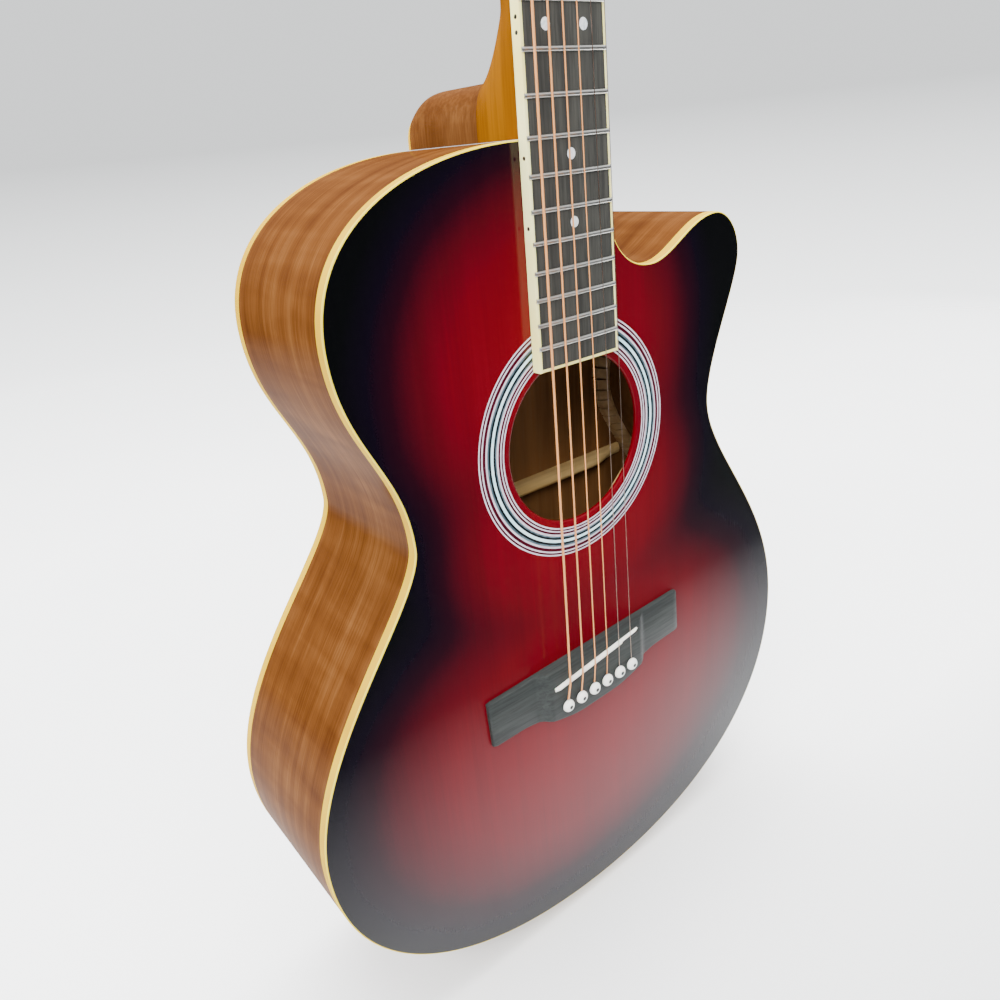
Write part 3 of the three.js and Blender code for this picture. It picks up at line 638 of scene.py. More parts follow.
def wound(name, colour, groove, pitch_mm):
    """A string wrapped in fine wire: the turns are drawn along the string's own length, with painted
    shade darkening the grooves between them.
    """
    g = Graph(name)
    along, _, _ = g.split(g.wrapped)
    turns = g.math("SINE", g.times(along, 2 * math.pi * 1000 / pitch_mm))
    wear = g.noise(1, 3, at=g.vector(g.times(along, 60), 0.0, 0.0))
    # painted shade: the colour goes darker in the grooves between the turns
    tint = g.mix(g.remap(turns, -1, 0.2, 0.75, 0), colour, groove)
    tint = g.mix(g.remap(wear, 0.5, 0.8, 0, 0.4), tint, (0.80, 0.42, 0.20))
    return g.finish(Base_Color=tint, Metallic=0.35, Roughness=g.remap(turns, -1, 1, 0.42, 0.28),
                    Normal=g.bump(turns, 0.05, 0.7))


def black_gloss(name, base):
    g = Graph(name)
    dust = g.noise(500, 3)
    tint = g.mix(g.remap(dust, 0.5, 0.75, 0, 1), base, (0.02, 0.02, 0.022))
    return g.finish(Base_Color=tint, Roughness=g.rough(dust, 0.3, 0.4),
                    Coat_Weight=1.0, Coat_Roughness=0.05, Coat_Normal=lacquer_bump(g))


BURST = burst()
SPRUCE = raw_wood("raw_spruce", "Z", (0.62, 0.40, 0.20), (0.44, 0.25, 0.10))
# raw spruce for the braces, partly its own colour and partly painted light: toned paler than the top's
# spruce to stand in for light through the soundhole
PAINTED_LIGHT_SPRUCE = raw_wood("raw_spruce_across_painted_light", "X", (0.78, 0.55, 0.24), (0.60, 0.38, 0.13))
LINING_WOOD = raw_wood("lining_basswood", "Y", (0.60, 0.42, 0.23), (0.46, 0.29, 0.13))
# bare mahogany inside the body, partly its own colour and partly painted shade: toned darker to stand
# in for the shade inside the box
PAINTED_SHADE_MAHOGANY = raw_wood("raw_mahogany_painted_shade", "Z", (0.24, 0.105, 0.034), (0.13, 0.050, 0.014))
MAPLE = raw_wood("bridge_plate_maple", "X", (0.68, 0.48, 0.28), (0.58, 0.38, 0.20))
BLOCK_WOOD = raw_wood("block_mahogany", "X", (0.42, 0.22, 0.10), (0.28, 0.13, 0.05))
SIDE_WOOD = mahogany("side_mahogany", "side")
BACK_WOOD = mahogany("back_mahogany", "back")
HEEL_WOOD = mahogany("heel_mahogany", "heel")
NECK_WOOD = neck_wood()
BOARD_WOOD = dark_wood("fingerboard_wood", "Z", (0.058, 0.057, 0.049), (0.036, 0.035, 0.031))
BRIDGE_WOOD = dark_wood("bridge_wood", "X", (0.038, 0.043, 0.040), (0.021, 0.025, 0.024))
CREAM = plastic("cream_binding", (0.50, 0.31, 0.010), (0.38, 0.21, 0.005))
CREAM_BOARD = plastic("board_binding", (0.86, 0.81, 0.38), (0.82, 0.68, 0.16), 0.15)
# a paler copy of the binding cream: painted highlight on the rounded corner of the top binding
HIGHLIGHT_CREAM = plastic("binding_edge_painted_highlight", (0.70, 0.54, 0.045), (0.62, 0.42, 0.025))
WHITE_PLASTIC = plastic("white_plastic", (0.88, 0.87, 0.82), (0.80, 0.78, 0.68), 0.7)
PEARL_BUTTON = plastic("button_plastic", (0.80, 0.78, 0.70), (0.66, 0.62, 0.50), 1.0)
BONE = bone()
PEARL = pearl()
NICKEL = metal("nickel", (0.80, 0.79, 0.75), (0.62, 0.60, 0.54), (0.26, 0.38))
FRET_METAL = metal("fret_nickel", (0.88, 0.88, 0.84), (0.74, 0.73, 0.68), (0.30, 0.42), (900, 90, 90))
STEEL = metal("plain_string_steel", (0.62, 0.47, 0.38), (0.42, 0.28, 0.20), (0.3, 0.42))
# the second colour is painted shade for the grooves between the turns
WOUND = wound("bronze_winding", (0.95, 0.42, 0.15), (0.50, 0.16, 0.05), 0.42)
BLACK = black_gloss("black_gloss", (0.008, 0.008, 0.009))
BLACK_DOT = black_gloss("black_dot", (0.006, 0.006, 0.006))
INLAYS = [
    inlay("rosette_white", (0.62, 0.55, 0.62), (0.50, 0.45, 0.52)),
    inlay("rosette_blue_grey", (0.050, 0.085, 0.105), (0.10, 0.15, 0.175)),
    inlay("rosette_pale", (0.50, 0.80, 0.88), (0.68, 0.88, 0.92)),
    inlay("rosette_black", (0.002, 0.003, 0.004), (0.005, 0.006, 0.008)),
    inlay("rosette_gap", (0.040, 0.0004, 0.006), (0.055, 0.0005, 0.008)),
]


# ---------------------------------------------------------------- the body


def soundboard():
    """The top: a groove for the rosette, a rounded hole edge and bare wood underneath."""
    lacquered, bare = 0, 1
    under = PLATE - SEAM
    s = Shell()

    def circles(count, profile, x=0, z=HOLE_Z):
        return [s.loop(circle(x, z, radius, count), y) for radius, y in profile]

    front, back = [s.loop(inset(OUTLINE, EDGE + SEAM), y) for y in (0, under)]
    hole = circles(128, [(ROSETTE_INNER, 0), (48.6, 0), (48.05, 0.15), (47.65, 0.5), (47.5, 1.0),
                         (47.5, 2.2), (47.9, 2.8), (48.4, under)])
    groove = circles(128, [(ROSETTE_OUTER, 0), (ROSETTE_OUTER, ROSETTE_DEPTH),
                           (ROSETTE_INNER, ROSETTE_DEPTH)])
    pins = [circles(20, [(PIN_HOLE, 0), (PIN_HOLE, under)], x, z) for x, z in pin_spots()]
    s.fill([front, groove[0]] + [p[0] for p in pins], lacquered)
    s.band(groove[0], groove[1], lacquered)
    s.band(groove[1], groove[2], bare)
    s.band(groove[2], hole[0], lacquered)
    for a, b in zip(hole, hole[1:]):
        s.band(a, b, bare if b is hole[-1] else lacquered)
    s.band(front, back, bare)
    for a, b in pins:
        s.band(a, b, bare)
    s.fill([back, hole[-1]] + [p[1] for p in pins], bare)
    make("top_plate", s.solid(), [BURST, SPRUCE], "soundboard", "burst_top", sharp=50)


def rosette():
    """Inlaid rings, one colour to each, level with the top and under the same coat."""
    white, blue, pale, black, red = range(5)
    outer = 68.30
    stripes = [
        (67.45, white), (66.40, red), (65.50, white), (63.70, red), (62.60, white),
        (61.60, blue), (60.30, black), (58.60, pale), (57.40, black), (56.60, blue),
        (55.40, white), (54.20, red), (53.40, white), (52.50, red), (51.65, white)]
    s = Shell()
    radii = [outer] + [radius for radius, _ in stripes]
    tops = [s.loop(circle(0, HOLE_Z, r, 160), 0) for r in radii]
    floor = [s.loop(circle(0, HOLE_Z, r, 160), ROSETTE_DEPTH - 0.05) for r in (radii[0], radii[-1])]
    for (_, colour), a, b in zip(stripes, tops, tops[1:]):
        s.band(a, b, colour)
    s.band(tops[0], floor[0], red)
    s.band(tops[-1], floor[1], red)
    s.band(floor[0], floor[1], red)
    make("rosette_rings", s.solid(), INLAYS, "rosette", "rosette_inlay", sharp=50)


def rim_ring(section):
    """A closed ring round the body: the section is (distance in from the side, y), y may need z."""
    s = Shell()
    loops = [s.loop(inset(OUTLINE, d), y) for d, y in section]
    for a, b in zip(loops, loops[1:] + loops[:1]):
        s.band(a, b)
    return s.vertices, s.faces


def bindings():
    """Both cream edge strips, each with a rounded outer corner; the top strip's rounded corner is a
    paler cream, as a painted highlight.
    """
    angles = np.radians([0, 22, 45, 68, 90])
    corner = [(EDGE - EDGE * math.sin(a), EDGE - EDGE * math.cos(a)) for a in angles]
    foot = BINDING_DEPTH - SEAM
    front = [(BINDING_WIDTH, foot), (BINDING_WIDTH, PLATE), (EDGE, PLATE)] + corner + [(0, foot)]
    vertices, faces = rim_ring(front)
    # the rounded corner (bands 3 to 6) gets the paler cream: painted highlight
    edge = [1 if 3 <= i // len(OUTLINE) <= 6 else 0 for i in range(len(faces))]
    make("top_binding_strip", (vertices, faces, edge), [CREAM, HIGHLIGHT_CREAM], "top_binding",
         "cream_plastic", sharp=50)
    back = [(BINDING_WIDTH, BINDING_DEPTH), (BINDING_WIDTH, 0)] + corner + [(0, BINDING_DEPTH)]
    solid = rim_ring([(d, before_back(height)) for d, height in back])
    make("back_binding_strip", solid, CREAM, "back_binding", "cream_plastic", sharp=50)


def ribs():
    """The bent sides: grain follows the bend, figured alike on both sides, bare wood inside."""
    count = len(OUTLINE)
    top = int(np.argmin(np.abs(OUTLINE[:, 0]) + np.abs(OUTLINE[:, 1] - BODY_LENGTH)))
    inner = inset(OUTLINE, 2.17)
    half_joint = 0.15
    for name, node, sign, indices in (
            ("side_treble", "rib_treble", 1, range(0, top + 1)),
            ("side_bass", "rib_bass", -1, range(count, top - 1, -1))):
        vertices, uv, faces, tags = [], [], [], []
        for index in indices:
            (x, z), (ix, iz) = OUTLINE[index % count], inner[index % count]
            if index in (indices[0], indices[-1]):
                x = ix = sign * half_joint
            along = (RUN[index] if sign > 0 else RUN[-1] - RUN[index]) / 1000
            rear = back_y(z) - BINDING_DEPTH - SEAM
            front = BINDING_DEPTH
            for px, py, pz in ((x, front, z), (x, rear, z), (ix, rear, iz), (ix, front, iz)):
                vertices.append((px, py, pz))
                uv.append((along, py / 1000))
        for a in range(0, len(vertices) - 4, 4):
            for i in range(4):
                j = (i + 1) % 4
                faces.append((a + i, a + j, a + 4 + j, a + 4 + i))
                tags.append(1 if i else 0)
        faces += [(0, 1, 2, 3), tuple(range(len(vertices) - 4, len(vertices)))]
        tags += [1, 1]
        piece = make(name, (vertices, faces, tags), [SIDE_WOOD, PAINTED_SHADE_MAHOGANY], node, "side_wood",
                     uv=uv, sharp=50)
        pin_hole = 4.3
        carve(piece, [turned([(pin_hole, -12), (pin_hole, 12)], (0, END_PIN_Z, 0), (0, 0, 1), 24)])


def kerfed_lining(name, node, glued, free, shoulder):
    """A strip of small blocks with saw cuts between them, glued in the corner at depth `glued`."""
    blocks = round(RUN[-1] / KERF_PITCH)
    step = RUN[-1] / blocks
    places, widths = [], []
    for k in range(blocks):
        places += [step * k, step * k, step * (k + 1) - KERF, step * (k + 1) - KERF]
        widths += [KERF_FLOOR, LINING_WIDTH, LINING_WIDTH, KERF_FLOOR]

    def spots(distance):
        curve = inset(OUTLINE, distance)
        curve = np.vstack([curve, curve[:1]])
        return np.stack([np.interp(places, RUN, curve[:, k]) for k in (0, 1)], axis=1)

    rings = []
    for o, i, width in zip(spots(LINING_START), spots(LINING_START + LINING_WIDTH), widths):
        p = o + (i - o) * width / LINING_WIDTH
        q = o + (i - o) * min(width, LINING_LIP) / LINING_WIDTH
        base, tip = glued(o[1]), free(o[1])
        middle = base + (tip - base) * shoulder
        rings.append([(o[0], base, o[1]), (p[0], base, p[1]), (p[0], middle, p[1]),
                      (q[0], tip, q[1]), (o[0], tip, o[1])])
    make(name, loft(rings, closed_path=True), LINING_WOOD, node, "inner_wood", sharp=20)


def back_plate():
    s = Shell()
    rim = inset(OUTLINE, BINDING_WIDTH + SEAM)
    outer, inner = s.loop(rim, back_y), s.loop(rim, before_back(PLATE))
    s.fill([outer], 0)
    s.fill([inner], 1)
    s.band(outer, inner, 1)
    make("back_panel", s.solid(), [BACK_WOOD, PAINTED_SHADE_MAHOGANY], "back_plate", "side_wood")


def crossing(z, sign):
    """Where a level line at z meets the outline moved in past the lining, on one side."""
    curve = inset(OUTLINE, 8.6)
    hits = []
    for (x0, z0), (x1, z1) in zip(curve, np.roll(curve, -1, axis=0)):
        if (z0 - z) * (z1 - z) < 0:
            hits.append(x0 + (x1 - x0) * (z - z0) / (z1 - z0))
    return min((x for x in hits if x * sign > 0), key=abs)


def back_braces():
    """Ladder braces on the back, rounded along the top and thinned towards both ends."""
    base = before_back(PLATE + 0.05)
    tip, fade, shoulder = 3.2, 38, 0.45
    bars = [(80, 16, 8), (170, 16, 8), (265.5, 8, 13), (385, 8, 13)]
    for number, (z, width, depth) in enumerate(bars, 1):
        half = width / 2
        left = max(crossing(z + e, -1) for e in (-half, half))
        right = min(crossing(z + e, 1) for e in (-half, half))
        rings = []
        for x in np.linspace(left, right, 48):
            ease = min(1, (x - left) / fade, (right - x) / fade)
            tall = tip + (depth - tip) * (0.5 - 0.5 * math.cos(math.pi * max(0, ease)))
            crest = []
            for a in np.radians([30, 55, 75, 90, 105, 125, 150]):
                lift = shoulder + (1 - shoulder) * math.sin(a)
                crest.append((x, base(z) - tall * lift, z - half * math.cos(a)))
            lower, upper = [[(x, base(z + e), z + e), (x, base(z) - tall * shoulder, z + e)]
                            for e in (-half, half)]
            rings.append(lower + crest + upper[::-1])
        make(f"back_brace_bar_{number}", loft(rings), PAINTED_LIGHT_SPRUCE, f"back_brace_{number}",
             "inner_wood", sharp=35)


def end_pin():
    profile = [
        (0, -22), (2.6, -22), (3.2, -21), (3.9, -1), (3.9, 0.1), (7.2, 0.3), (7.9, 0.9), (7.95, 1.8),
        (7.3, 2.7), (5.6, 3.8), (4.8, 5.0), (4.9, 6.2), (5.9, 7.4), (6.6, 8.3), (6.7, 9.0), (6.2, 9.6),
        (4.5, 9.95), (0, 10)]
    pin = turned(profile, (0, END_PIN_Z, 0), (0, 0, -1), 48)
    make("strap_pin", pin, WHITE_PLASTIC, "end_pin", "cream_plastic", sharp=50)


# ---------------------------------------------------------------- bridge, saddle and pins


def saddle_point(u, v):
    """A point on the slanted saddle, u along it and v across it."""
    c, s = math.cos(math.atan(SADDLE_SLOPE)), math.sin(math.atan(SADDLE_SLOPE))
    return SADDLE_X + u * c - v * s, SADDLE_Z + u * s + v * c


def bridge():
    """A raised middle, two thin wings with scooped shoulders, and a belly behind the pins."""
    wing, rise, end_drop = 3.6, 4.9, 0.5
    front = 199
    rings = []
    wing_xs, scoop_xs = np.linspace(50, 80, 14), np.linspace(36, 49, 16)
    for x in [*-wing_xs[::-1], *-scoop_xs[::-1], *np.linspace(-35, 35, 30), *scoop_xs, *wing_xs]:
        a = abs(x)
        height = wing + rise * smooth_step((47 - a) / 9.5) - end_drop * smooth_step((a - 60) / 20)
        rear = 168 - 9 * smooth_step((62 - a) / 50)
        at_end = a > 79.2
        height, side = (height - 0.6, 0.5) if at_end else (height, 0.0)
        bevel = min(2.2, height * 0.42)
        edge = [(0, -0.05), (0, -height + bevel), (bevel * 0.32, -height + bevel * 0.25),
                (bevel, -height)]
        rings.append([(x, y, rear + side + d) for d, y in edge] + [(x, -height, (front + rear) / 2)]
                     + [(x, y, front - side - d) for d, y in reversed(edge)])
    vertices, faces = loft(rings)
    c, s = math.cos(BRIDGE_TURN), math.sin(BRIDGE_TURN)
    x, z = vertices[:, 0].copy(), vertices[:, 2] - PIN_Z
    vertices[:, 0], vertices[:, 2] = x * c - z * s, PIN_Z + x * s + z * c
    piece = make("bridge_block", (vertices, faces), BRIDGE_WOOD, "bridge", "dark_wood", sharp=28)
    half, across = SADDLE_HALF + 0.2, 1.4
    corners = ((-half, -across), (half, -across), (half, across), (-half, across))
    slot = [saddle_point(u, v) for u, v in corners]
    holes = [turned([(PIN_HOLE, -5), (PIN_HOLE, 20)], (x, 0, z), (0, -1, 0), 24)
             for x, z in pin_spots()]
    carve(piece, [prism(slot, -20, -3.4)] + holes)


def saddle():
    """Bone, rounded on top, with its crest stepped back under the second string."""
    half, across, foot = SADDLE_HALF, 1.2, -3.85
    rings = []
    for u in np.linspace(-half, half, 60):
        end = smooth_step((half - abs(u)) / 3)
        top = -(9.3 + 0.95 * end + 0.35 * (1 - (u / half) ** 2) * end)
        rear, crest = -across, 0.1 + 0.3 * math.sin(u * 0.11)
        if 10 < u < 20:
            crest = -0.5
        elif u >= 20:
            crest, rear = 0.6, -0.15
        ring = []
        for v, y in ((-across, foot), (-across, -8.4), (rear, -8.6), (rear, top + 0.6),
                     (rear + 0.25, top + 0.25), (crest - 0.2, top + 0.02), (crest + 0.25, top + 0.02),
                     (1.0, top + 0.3), (across, top + 0.7), (across, foot)):
            x, z = saddle_point(u, v)
            ring.append((x, y, z))
        rings.append(ring)
    make("saddle_bone", loft(rings), BONE, "saddle", "bone", sharp=40)


def slotted(radii, along, angles):
    """The slot down the front of a pin's shank, for its string."""
    facing = np.abs((angles - math.pi / 2 + math.pi) % (2 * math.pi) - math.pi)
    return radii if along > 8 else np.where(facing < 0.42, radii - 1.0, radii)


def bridge_pins():
    """Domed pins with a dot set in the crown and a slot down the front of the shank."""
    profile = [
        (0, -14), (1.5, -14), (1.9, -13.4), (2.1, -8), (2.35, 0), (2.48, 7.9), (2.5, 8.6), (2.6, 9.0),
        (3.7, 9.12), (3.95, 9.35), (4.0, 9.9), (3.9, 10.5), (3.6, 11.1), (3.1, 11.65), (2.5, 12.05),
        (1.8, 12.32), (1.35, 12.42), (1.34, 12.34), (0, 12.34)]
    dot_profile = [(0, 12.36), (1.26, 12.36), (1.26, 12.42), (1.0, 12.5), (0.5, 12.56), (0, 12.57)]
    for label, (x, z) in zip(range(6, 0, -1), pin_spots()):
        shank = turned(profile, (x, 0, z), (0, -1, 0), 40, slotted)
        dot = turned(dot_profile, (x, 0, z), (0, -1, 0), 24)
        body = f"bridge_pin_{label}"
        make(f"pin_{label}", grouped([shank], [dot]), [WHITE_PLASTIC, BLACK_DOT], body, "bone", body,
             sharp=50)


soundboard()
rosette()
bindings()
ribs()
kerfed_lining("top_kerfing", "top_lining", lambda z: 3.05, lambda z: 14.8, 0.42)
kerfed_lining("back_kerfing", "back_lining", before_back(3.05), before_back(14.8), 0.45)
back_plate()
back_braces()
end_pin()
bridge()
saddle()
bridge_pins()


# ---------------------------------------------------------------- neck and heel


def half_round(across, deep):
    """A section one unit deep and wide: smaller powers make its sides flatter."""
    points = []
    for a in np.linspace(0, math.pi, 28):
        c, s = math.cos(a), max(0, math.sin(a))
        points.append((math.copysign(abs(c) ** across, c), s ** deep))
    return points


def head_half(z):
    """Half the width of the headstock, which flares from the nut and then widens slowly."""
    if z < 26:
        return 21.5 + (31 - 21.5) * smooth_step(max(0.0, z / 26))
    return 31 + (36 - 31) * (z - 26) / 136


def neck_blank():
    """Neck shaft, heel and the root of the headstock as overlapping closed solids."""
    shaft, heel, root = [], [], []
    for z in np.linspace(470, NUT_Z + 5.5, 24):
        depth = 15 + (17.5 - 15) * (NUT_Z - z) / (NUT_Z - BODY_LENGTH)
        half = board_half(z) - 0.35
        curve = [(x * half, y * depth, z) for x, y in half_round(0.8, 0.75)]
        shaft.append([(half, -3, z)] + curve + [(-half, -3, z)])
    for y in np.linspace(-3, 95, 50):
        stand = 27 + max(0, 36.5 - y) ** 2 / 18 - 9 * max(0, (y - 72) / 20) ** 3
        half = 26.6
        curve = [(x * half, y, 484 + reach * stand) for x, reach in half_round(0.5, 0.6)]
        heel.append([(half, y, 478)] + curve + [(-half, y, 478)])
    for z in np.linspace(-1.2, 30, 12):
        half = head_half(z)
        corners = ((-half, 0), (-half, HEAD_THICK), (half, HEAD_THICK), (half, 0))
        root.append(head_to_body([(x, y, z) for x, y in corners]))
    return grouped([loft(shaft), loft(heel), loft(root)])[:2]


def cut_by_plane(piece, point, normal, keep_ahead=True):
    """Keeps what lies ahead of a plane through a point in mm, or behind it, and closes the cut."""
    work = bmesh.new()
    work.from_mesh(piece.data)
    x, y, z = point
    bmesh.ops.bisect_plane(
        work, geom=work.verts[:] + work.edges[:] + work.faces[:], dist=1e-7,
        plane_co=Vector((x, y + FACE, z + TAIL)) / 1000, plane_no=Vector(normal),
        clear_outer=not keep_ahead, clear_inner=keep_ahead)
    bmesh.ops.holes_fill(work, edges=[e for e in work.edges if e.is_boundary], sides=0)
    work.to_mesh(piece.data)
    work.free()


def copy_of(piece, name):
    twin = piece.copy()
    twin.data = piece.data.copy()
    twin.name = name
    bpy.context.scene.collection.objects.link(twin)
    return twin


def neck():
    """One smooth blend of shaft, heel and head root, cut into the pieces it is glued from."""
    joint, cap = 30, 90
    blank = new_object("neck_blank", *neck_blank())
    finish_mesh(blank)
    remesh = blank.modifiers.new("remesh", "REMESH")
    remesh.mode, remesh.voxel_size, remesh.use_smooth_shade = "VOXEL", 0.0011, True
    smooth = blank.modifiers.new("smooth", "SMOOTH")
    smooth.factor, smooth.iterations = 0.5, 24
    apply_modifiers(blank)
    cut_by_plane(blank, (0, -0.28, 0), (0, 1, 0))
    cut_by_plane(blank, (0, 0, BODY_LENGTH + 0.25), (0, 0, 1))
    scarf = head_to_body([(0, 0, 22)])[0]
    cut_by_plane(blank, scarf, (0, math.sin(HEAD_TILT), math.cos(HEAD_TILT)), keep_ahead=False)
    for name, low, high, material, node, slot in (
            ("neck_shaft", None, joint - 0.05, NECK_WOOD, "neck", "neck_wood"),
            ("heel_body", joint + 0.05, cap - 0.1, HEEL_WOOD, "heel_block", "side_wood"),
            ("heel_plate", cap, cap + 2, CREAM, "heel_cap", "cream_plastic")):
        part = copy_of(blank, name)
        if low is None:
            behind = prism([(-60, 440), (60, 440), (60, 600), (-60, 600)], high, 140)
            carve(part, [behind])
        else:
            cut_by_plane(part, (0, low, 0), (0, 1, 0))
            cut_by_plane(part, (0, high, 0), (0, 1, 0), keep_ahead=False)
        finish_mesh(part, 50)
        part.data.materials.clear()
        part.data.materials.append(material)
        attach(part, "root")
        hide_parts(node)
    bpy.data.objects.remove(blank)


# ---------------------------------------------------------------- fingerboard


def arched(x, extra=0.0):
    return BOARD_TOP + crown(x) - extra


def fingerboard():
    rings = []
    for z in np.linspace(BOARD_END + 1.65, NUT_Z - 0.02, 40):
        half = board_half(z) - 1.62
        top = [(x, arched(x), z) for x in np.linspace(half, -half, 17)]
        rings.append([(half, BOARD_UNDER, z)] + top + [(-half, BOARD_UNDER, z)])
    make("fingerboard_blade", loft(rings), BOARD_WOOD, "fingerboard", "dark_wood")


def board_binding():
    """Cream strips down both edges and across the end by the soundhole."""
    parts = []
    for sign in (-1, 1):
        rings = []
        for z in np.linspace(BOARD_END, NUT_Z - 0.02, 40):
            outer = sign * board_half(z)
            inner = sign * (board_half(z) - BOARD_EDGING)
            rings.append([(inner, BOARD_UNDER, z), (inner, arched(inner), z),
                          (outer - sign * 0.35, arched(outer), z),
                          (outer - sign * 0.1, arched(outer) + 0.1, z),
                          (outer, arched(outer) + 0.35, z), (outer, BOARD_UNDER, z)])
        parts.append(loft(rings))
    rings = []
    reach = board_half(BOARD_END) - BOARD_EDGING - 0.01
    for x in np.linspace(-reach, reach, 16):
        section = [(BOARD_UNDER, 0), (arched(x) + 0.35, 0), (arched(x) + 0.1, 0.1), (arched(x), 0.35),
                   (arched(x), BOARD_EDGING), (BOARD_UNDER, BOARD_EDGING)]
        rings.append([(x, y, BOARD_END + dz) for y, dz in section])
    make("fingerboard_edging", grouped(parts + [loft(rings)])[:2], CREAM_BOARD, "fingerboard_binding",
         "cream_plastic")


def frets():
    """Crowned wires that follow the arch of the board, with rounded, bevelled ends."""
    height, width, bevel, sunk = 1.12, 1.1, 0.8, 0.12
    parts = []
    for number in range(1, 22):
        z = fret_z(number)
        half = board_half(z) - 0.15
        rings = []
        for x in [-half, -half + 0.3, -half + 0.8, *np.linspace(-half + 2, half - 2, 14),
                  half - 0.8, half - 0.3, half]:
            edge = min(1, (half - abs(x)) / bevel)
            tall = height * (0.35 + 0.65 * edge ** 0.5)
            base = arched(x) + sunk
            ring = [(x, base, z - 1.15)]
            for a in np.radians([0, 18, 38, 60, 90, 120, 142, 162, 180]):
                ring.append((x, base - sunk - tall * math.sin(a) ** 0.9, z - width * math.cos(a)))
            rings.append(ring + [(x, base, z + 1.15)])
        parts.append(loft(rings))
    make("fret_wires", grouped(parts)[:2], FRET_METAL, "frets", "nickel", sharp=60)


def between_frets(fret):
    return (fret_z(fret) + fret_z(fret - 1)) / 2


def dots():
    """Pearl dots in the board and small black ones in the edge that the player sees."""
    radius = 2.6
    single = (3, 5, 7, 9, 15, 17)
    parts = []
    for x, fret in [(0, fret) for fret in single] + [(-11.5, 12), (11.5, 12)]:
        rings = []
        for r, up in ((radius, -0.25), (radius, 0.015), (radius * 0.96, 0.03), (0.05, 0.035)):
            rings.append([(px, arched(px, up), pz) for px, pz in circle(x, between_frets(fret), r, 28)])
        parts.append(loft(rings))
    make("pearl_dots", grouped(parts)[:2], PEARL, slot="bone", sharp=60)
    parts = []
    for fret, shift in ((3, 0), (5, 0), (7, 0), (9, 0), (12, -3), (12, 3), (15, 0), (17, 0)):
        z = between_frets(fret) + shift
        parts.append(turned([(0, -0.4), (0.95, -0.4), (0.95, 0.0), (0.8, 0.05), (0, 0.06)],
                            (-board_half(z), -3.4, z), (-1, 0, 0), 20))
    make("side_dots", grouped(parts)[:2], BLACK_DOT, slot="black_plastic", sharp=60)


def nut():
    """Bone, sloping down to the headstock, with six filed slots."""
    half = 21.4
    rings = []
    for along, drop in ((0.05, 0.0), (0.5, -0.02), (2.5, 0.1), (4.2, 0.8), (4.7, 1.6)):
        z = NUT_Z + along
        top = []
        for x in np.linspace(-half, half, 260):
            y = -8.4 + drop + 0.9 * max(0, (abs(x) - half + 1.2) / 1.2) ** 2
            for index, radius in enumerate(STRING_RADII):
                gap, slot = abs(x - string_x(index, NUT_SPACING)), radius + 0.08
                if gap < slot:
                    y = max(y, NUT_SLOT_Y + drop * 0.6 + math.sqrt(slot ** 2 - gap ** 2) + 0.02)
            top.append((x, y, z))
        rings.append([(-half, BOARD_UNDER, z)] + top + [(half, BOARD_UNDER, z)])
    make("nut_bone", loft(rings), BONE, "nut", "bone", sharp=35)


# ---------------------------------------------------------------- strings


def wire_looks(index):
    """Material and slot of a string: four are wound and two are plain."""
    return (WOUND, "bronze_wound") if index < 4 else (STEEL, "plain_steel")


def string_points(index):
    """Where a string bends, from its post over the nut and the saddle to its pin."""
    _, side, z = MACHINES[index]
    r = STRING_RADII[index]
    post = head_to_body([(side * (POST_X - 3 - r - 0.1), POST_WAIST_Y, z - 1)])[0]
    nut_x, nut_y = string_x(index, NUT_SPACING), NUT_SLOT_Y - r
    x = string_x(index, SADDLE_SPACING)
    u = (x - SADDLE_X) / math.cos(math.atan(SADDLE_SLOPE))
    saddle_y = -(10.27 + 0.35 * (1 - (u / SADDLE_HALF) ** 2)) - r
    pin_x, pin_z = pin_spots()[index]
    return [post] + [np.array(point) for point in (
        (nut_x, nut_y, NUT_Z + 4.6), (nut_x, nut_y, NUT_Z), (x, saddle_y, saddle_z(x)),
        (pin_x, -9.35 - r, pin_z + 4.15 + r))]


def strings():
    steps = [np.linspace(0, 0.97, 12), (0.1, 0.5, 0.9), np.linspace(0.003, 0.997, 60),
             np.linspace(0.06, 1.0, 8)]
    for index, (label, _, _) in enumerate(MACHINES):
        bends = string_points(index)
        path = [a + (b - a) * t for a, b, stretch in zip(bends, bends[1:], steps) for t in stretch]
        solid, uv = tube(path, STRING_RADII[index], 14)
        material, slot = wire_looks(index)
        make(f"string_wire_{label}", solid, material, f"string_{label}", slot, uv=uv, sharp=60)


neck()
fingerboard()
board_binding()
frets()
dots()
nut()
strings()


# ---------------------------------------------------------------- headstock


def head_outline(margin, start):
    """Both sides of the headstock in head space, from z = start, anticlockwise."""
    tip = (0.0, HEAD_LENGTH - margin)
    right = [(head_half(z) - margin, z) for z in np.linspace(start, 160, 40)]
    crest = [(36 - margin, 162 - margin), (36 - margin, 172), (14, 170), tip]
    right += [tuple(p) for p in bezier(crest, 16)]
    return right + [tip] + [(-x, z) for x, z in reversed(right)]


def post_spots():
    return [(side * POST_X, z) for _, side, z in MACHINES]


def headstock():
    """The wood above the scarf joint and its glossy black face, with holes for six bushings."""
    holes = [circle(x, z, BUSHING_HOLE, 28) for x, z in post_spots()]
    rod_pocket = [(-5, 3), (5, 3), (5, 15), (-5, 15)]
    wood = prism(head_outline(0, 22.05), 0.0, HEAD_THICK, holes)
    make("headstock_wood", wood, NECK_WOOD, "neck", "neck_wood", head=True, bevel=1.4, sharp=35)
    face = prism(head_outline(0.2, 1.3), -1.8, -0.05, holes + [rod_pocket])
    make("headstock_face", face, BLACK, "headstock_veneer", "black_plastic", head=True, bevel=0.5)


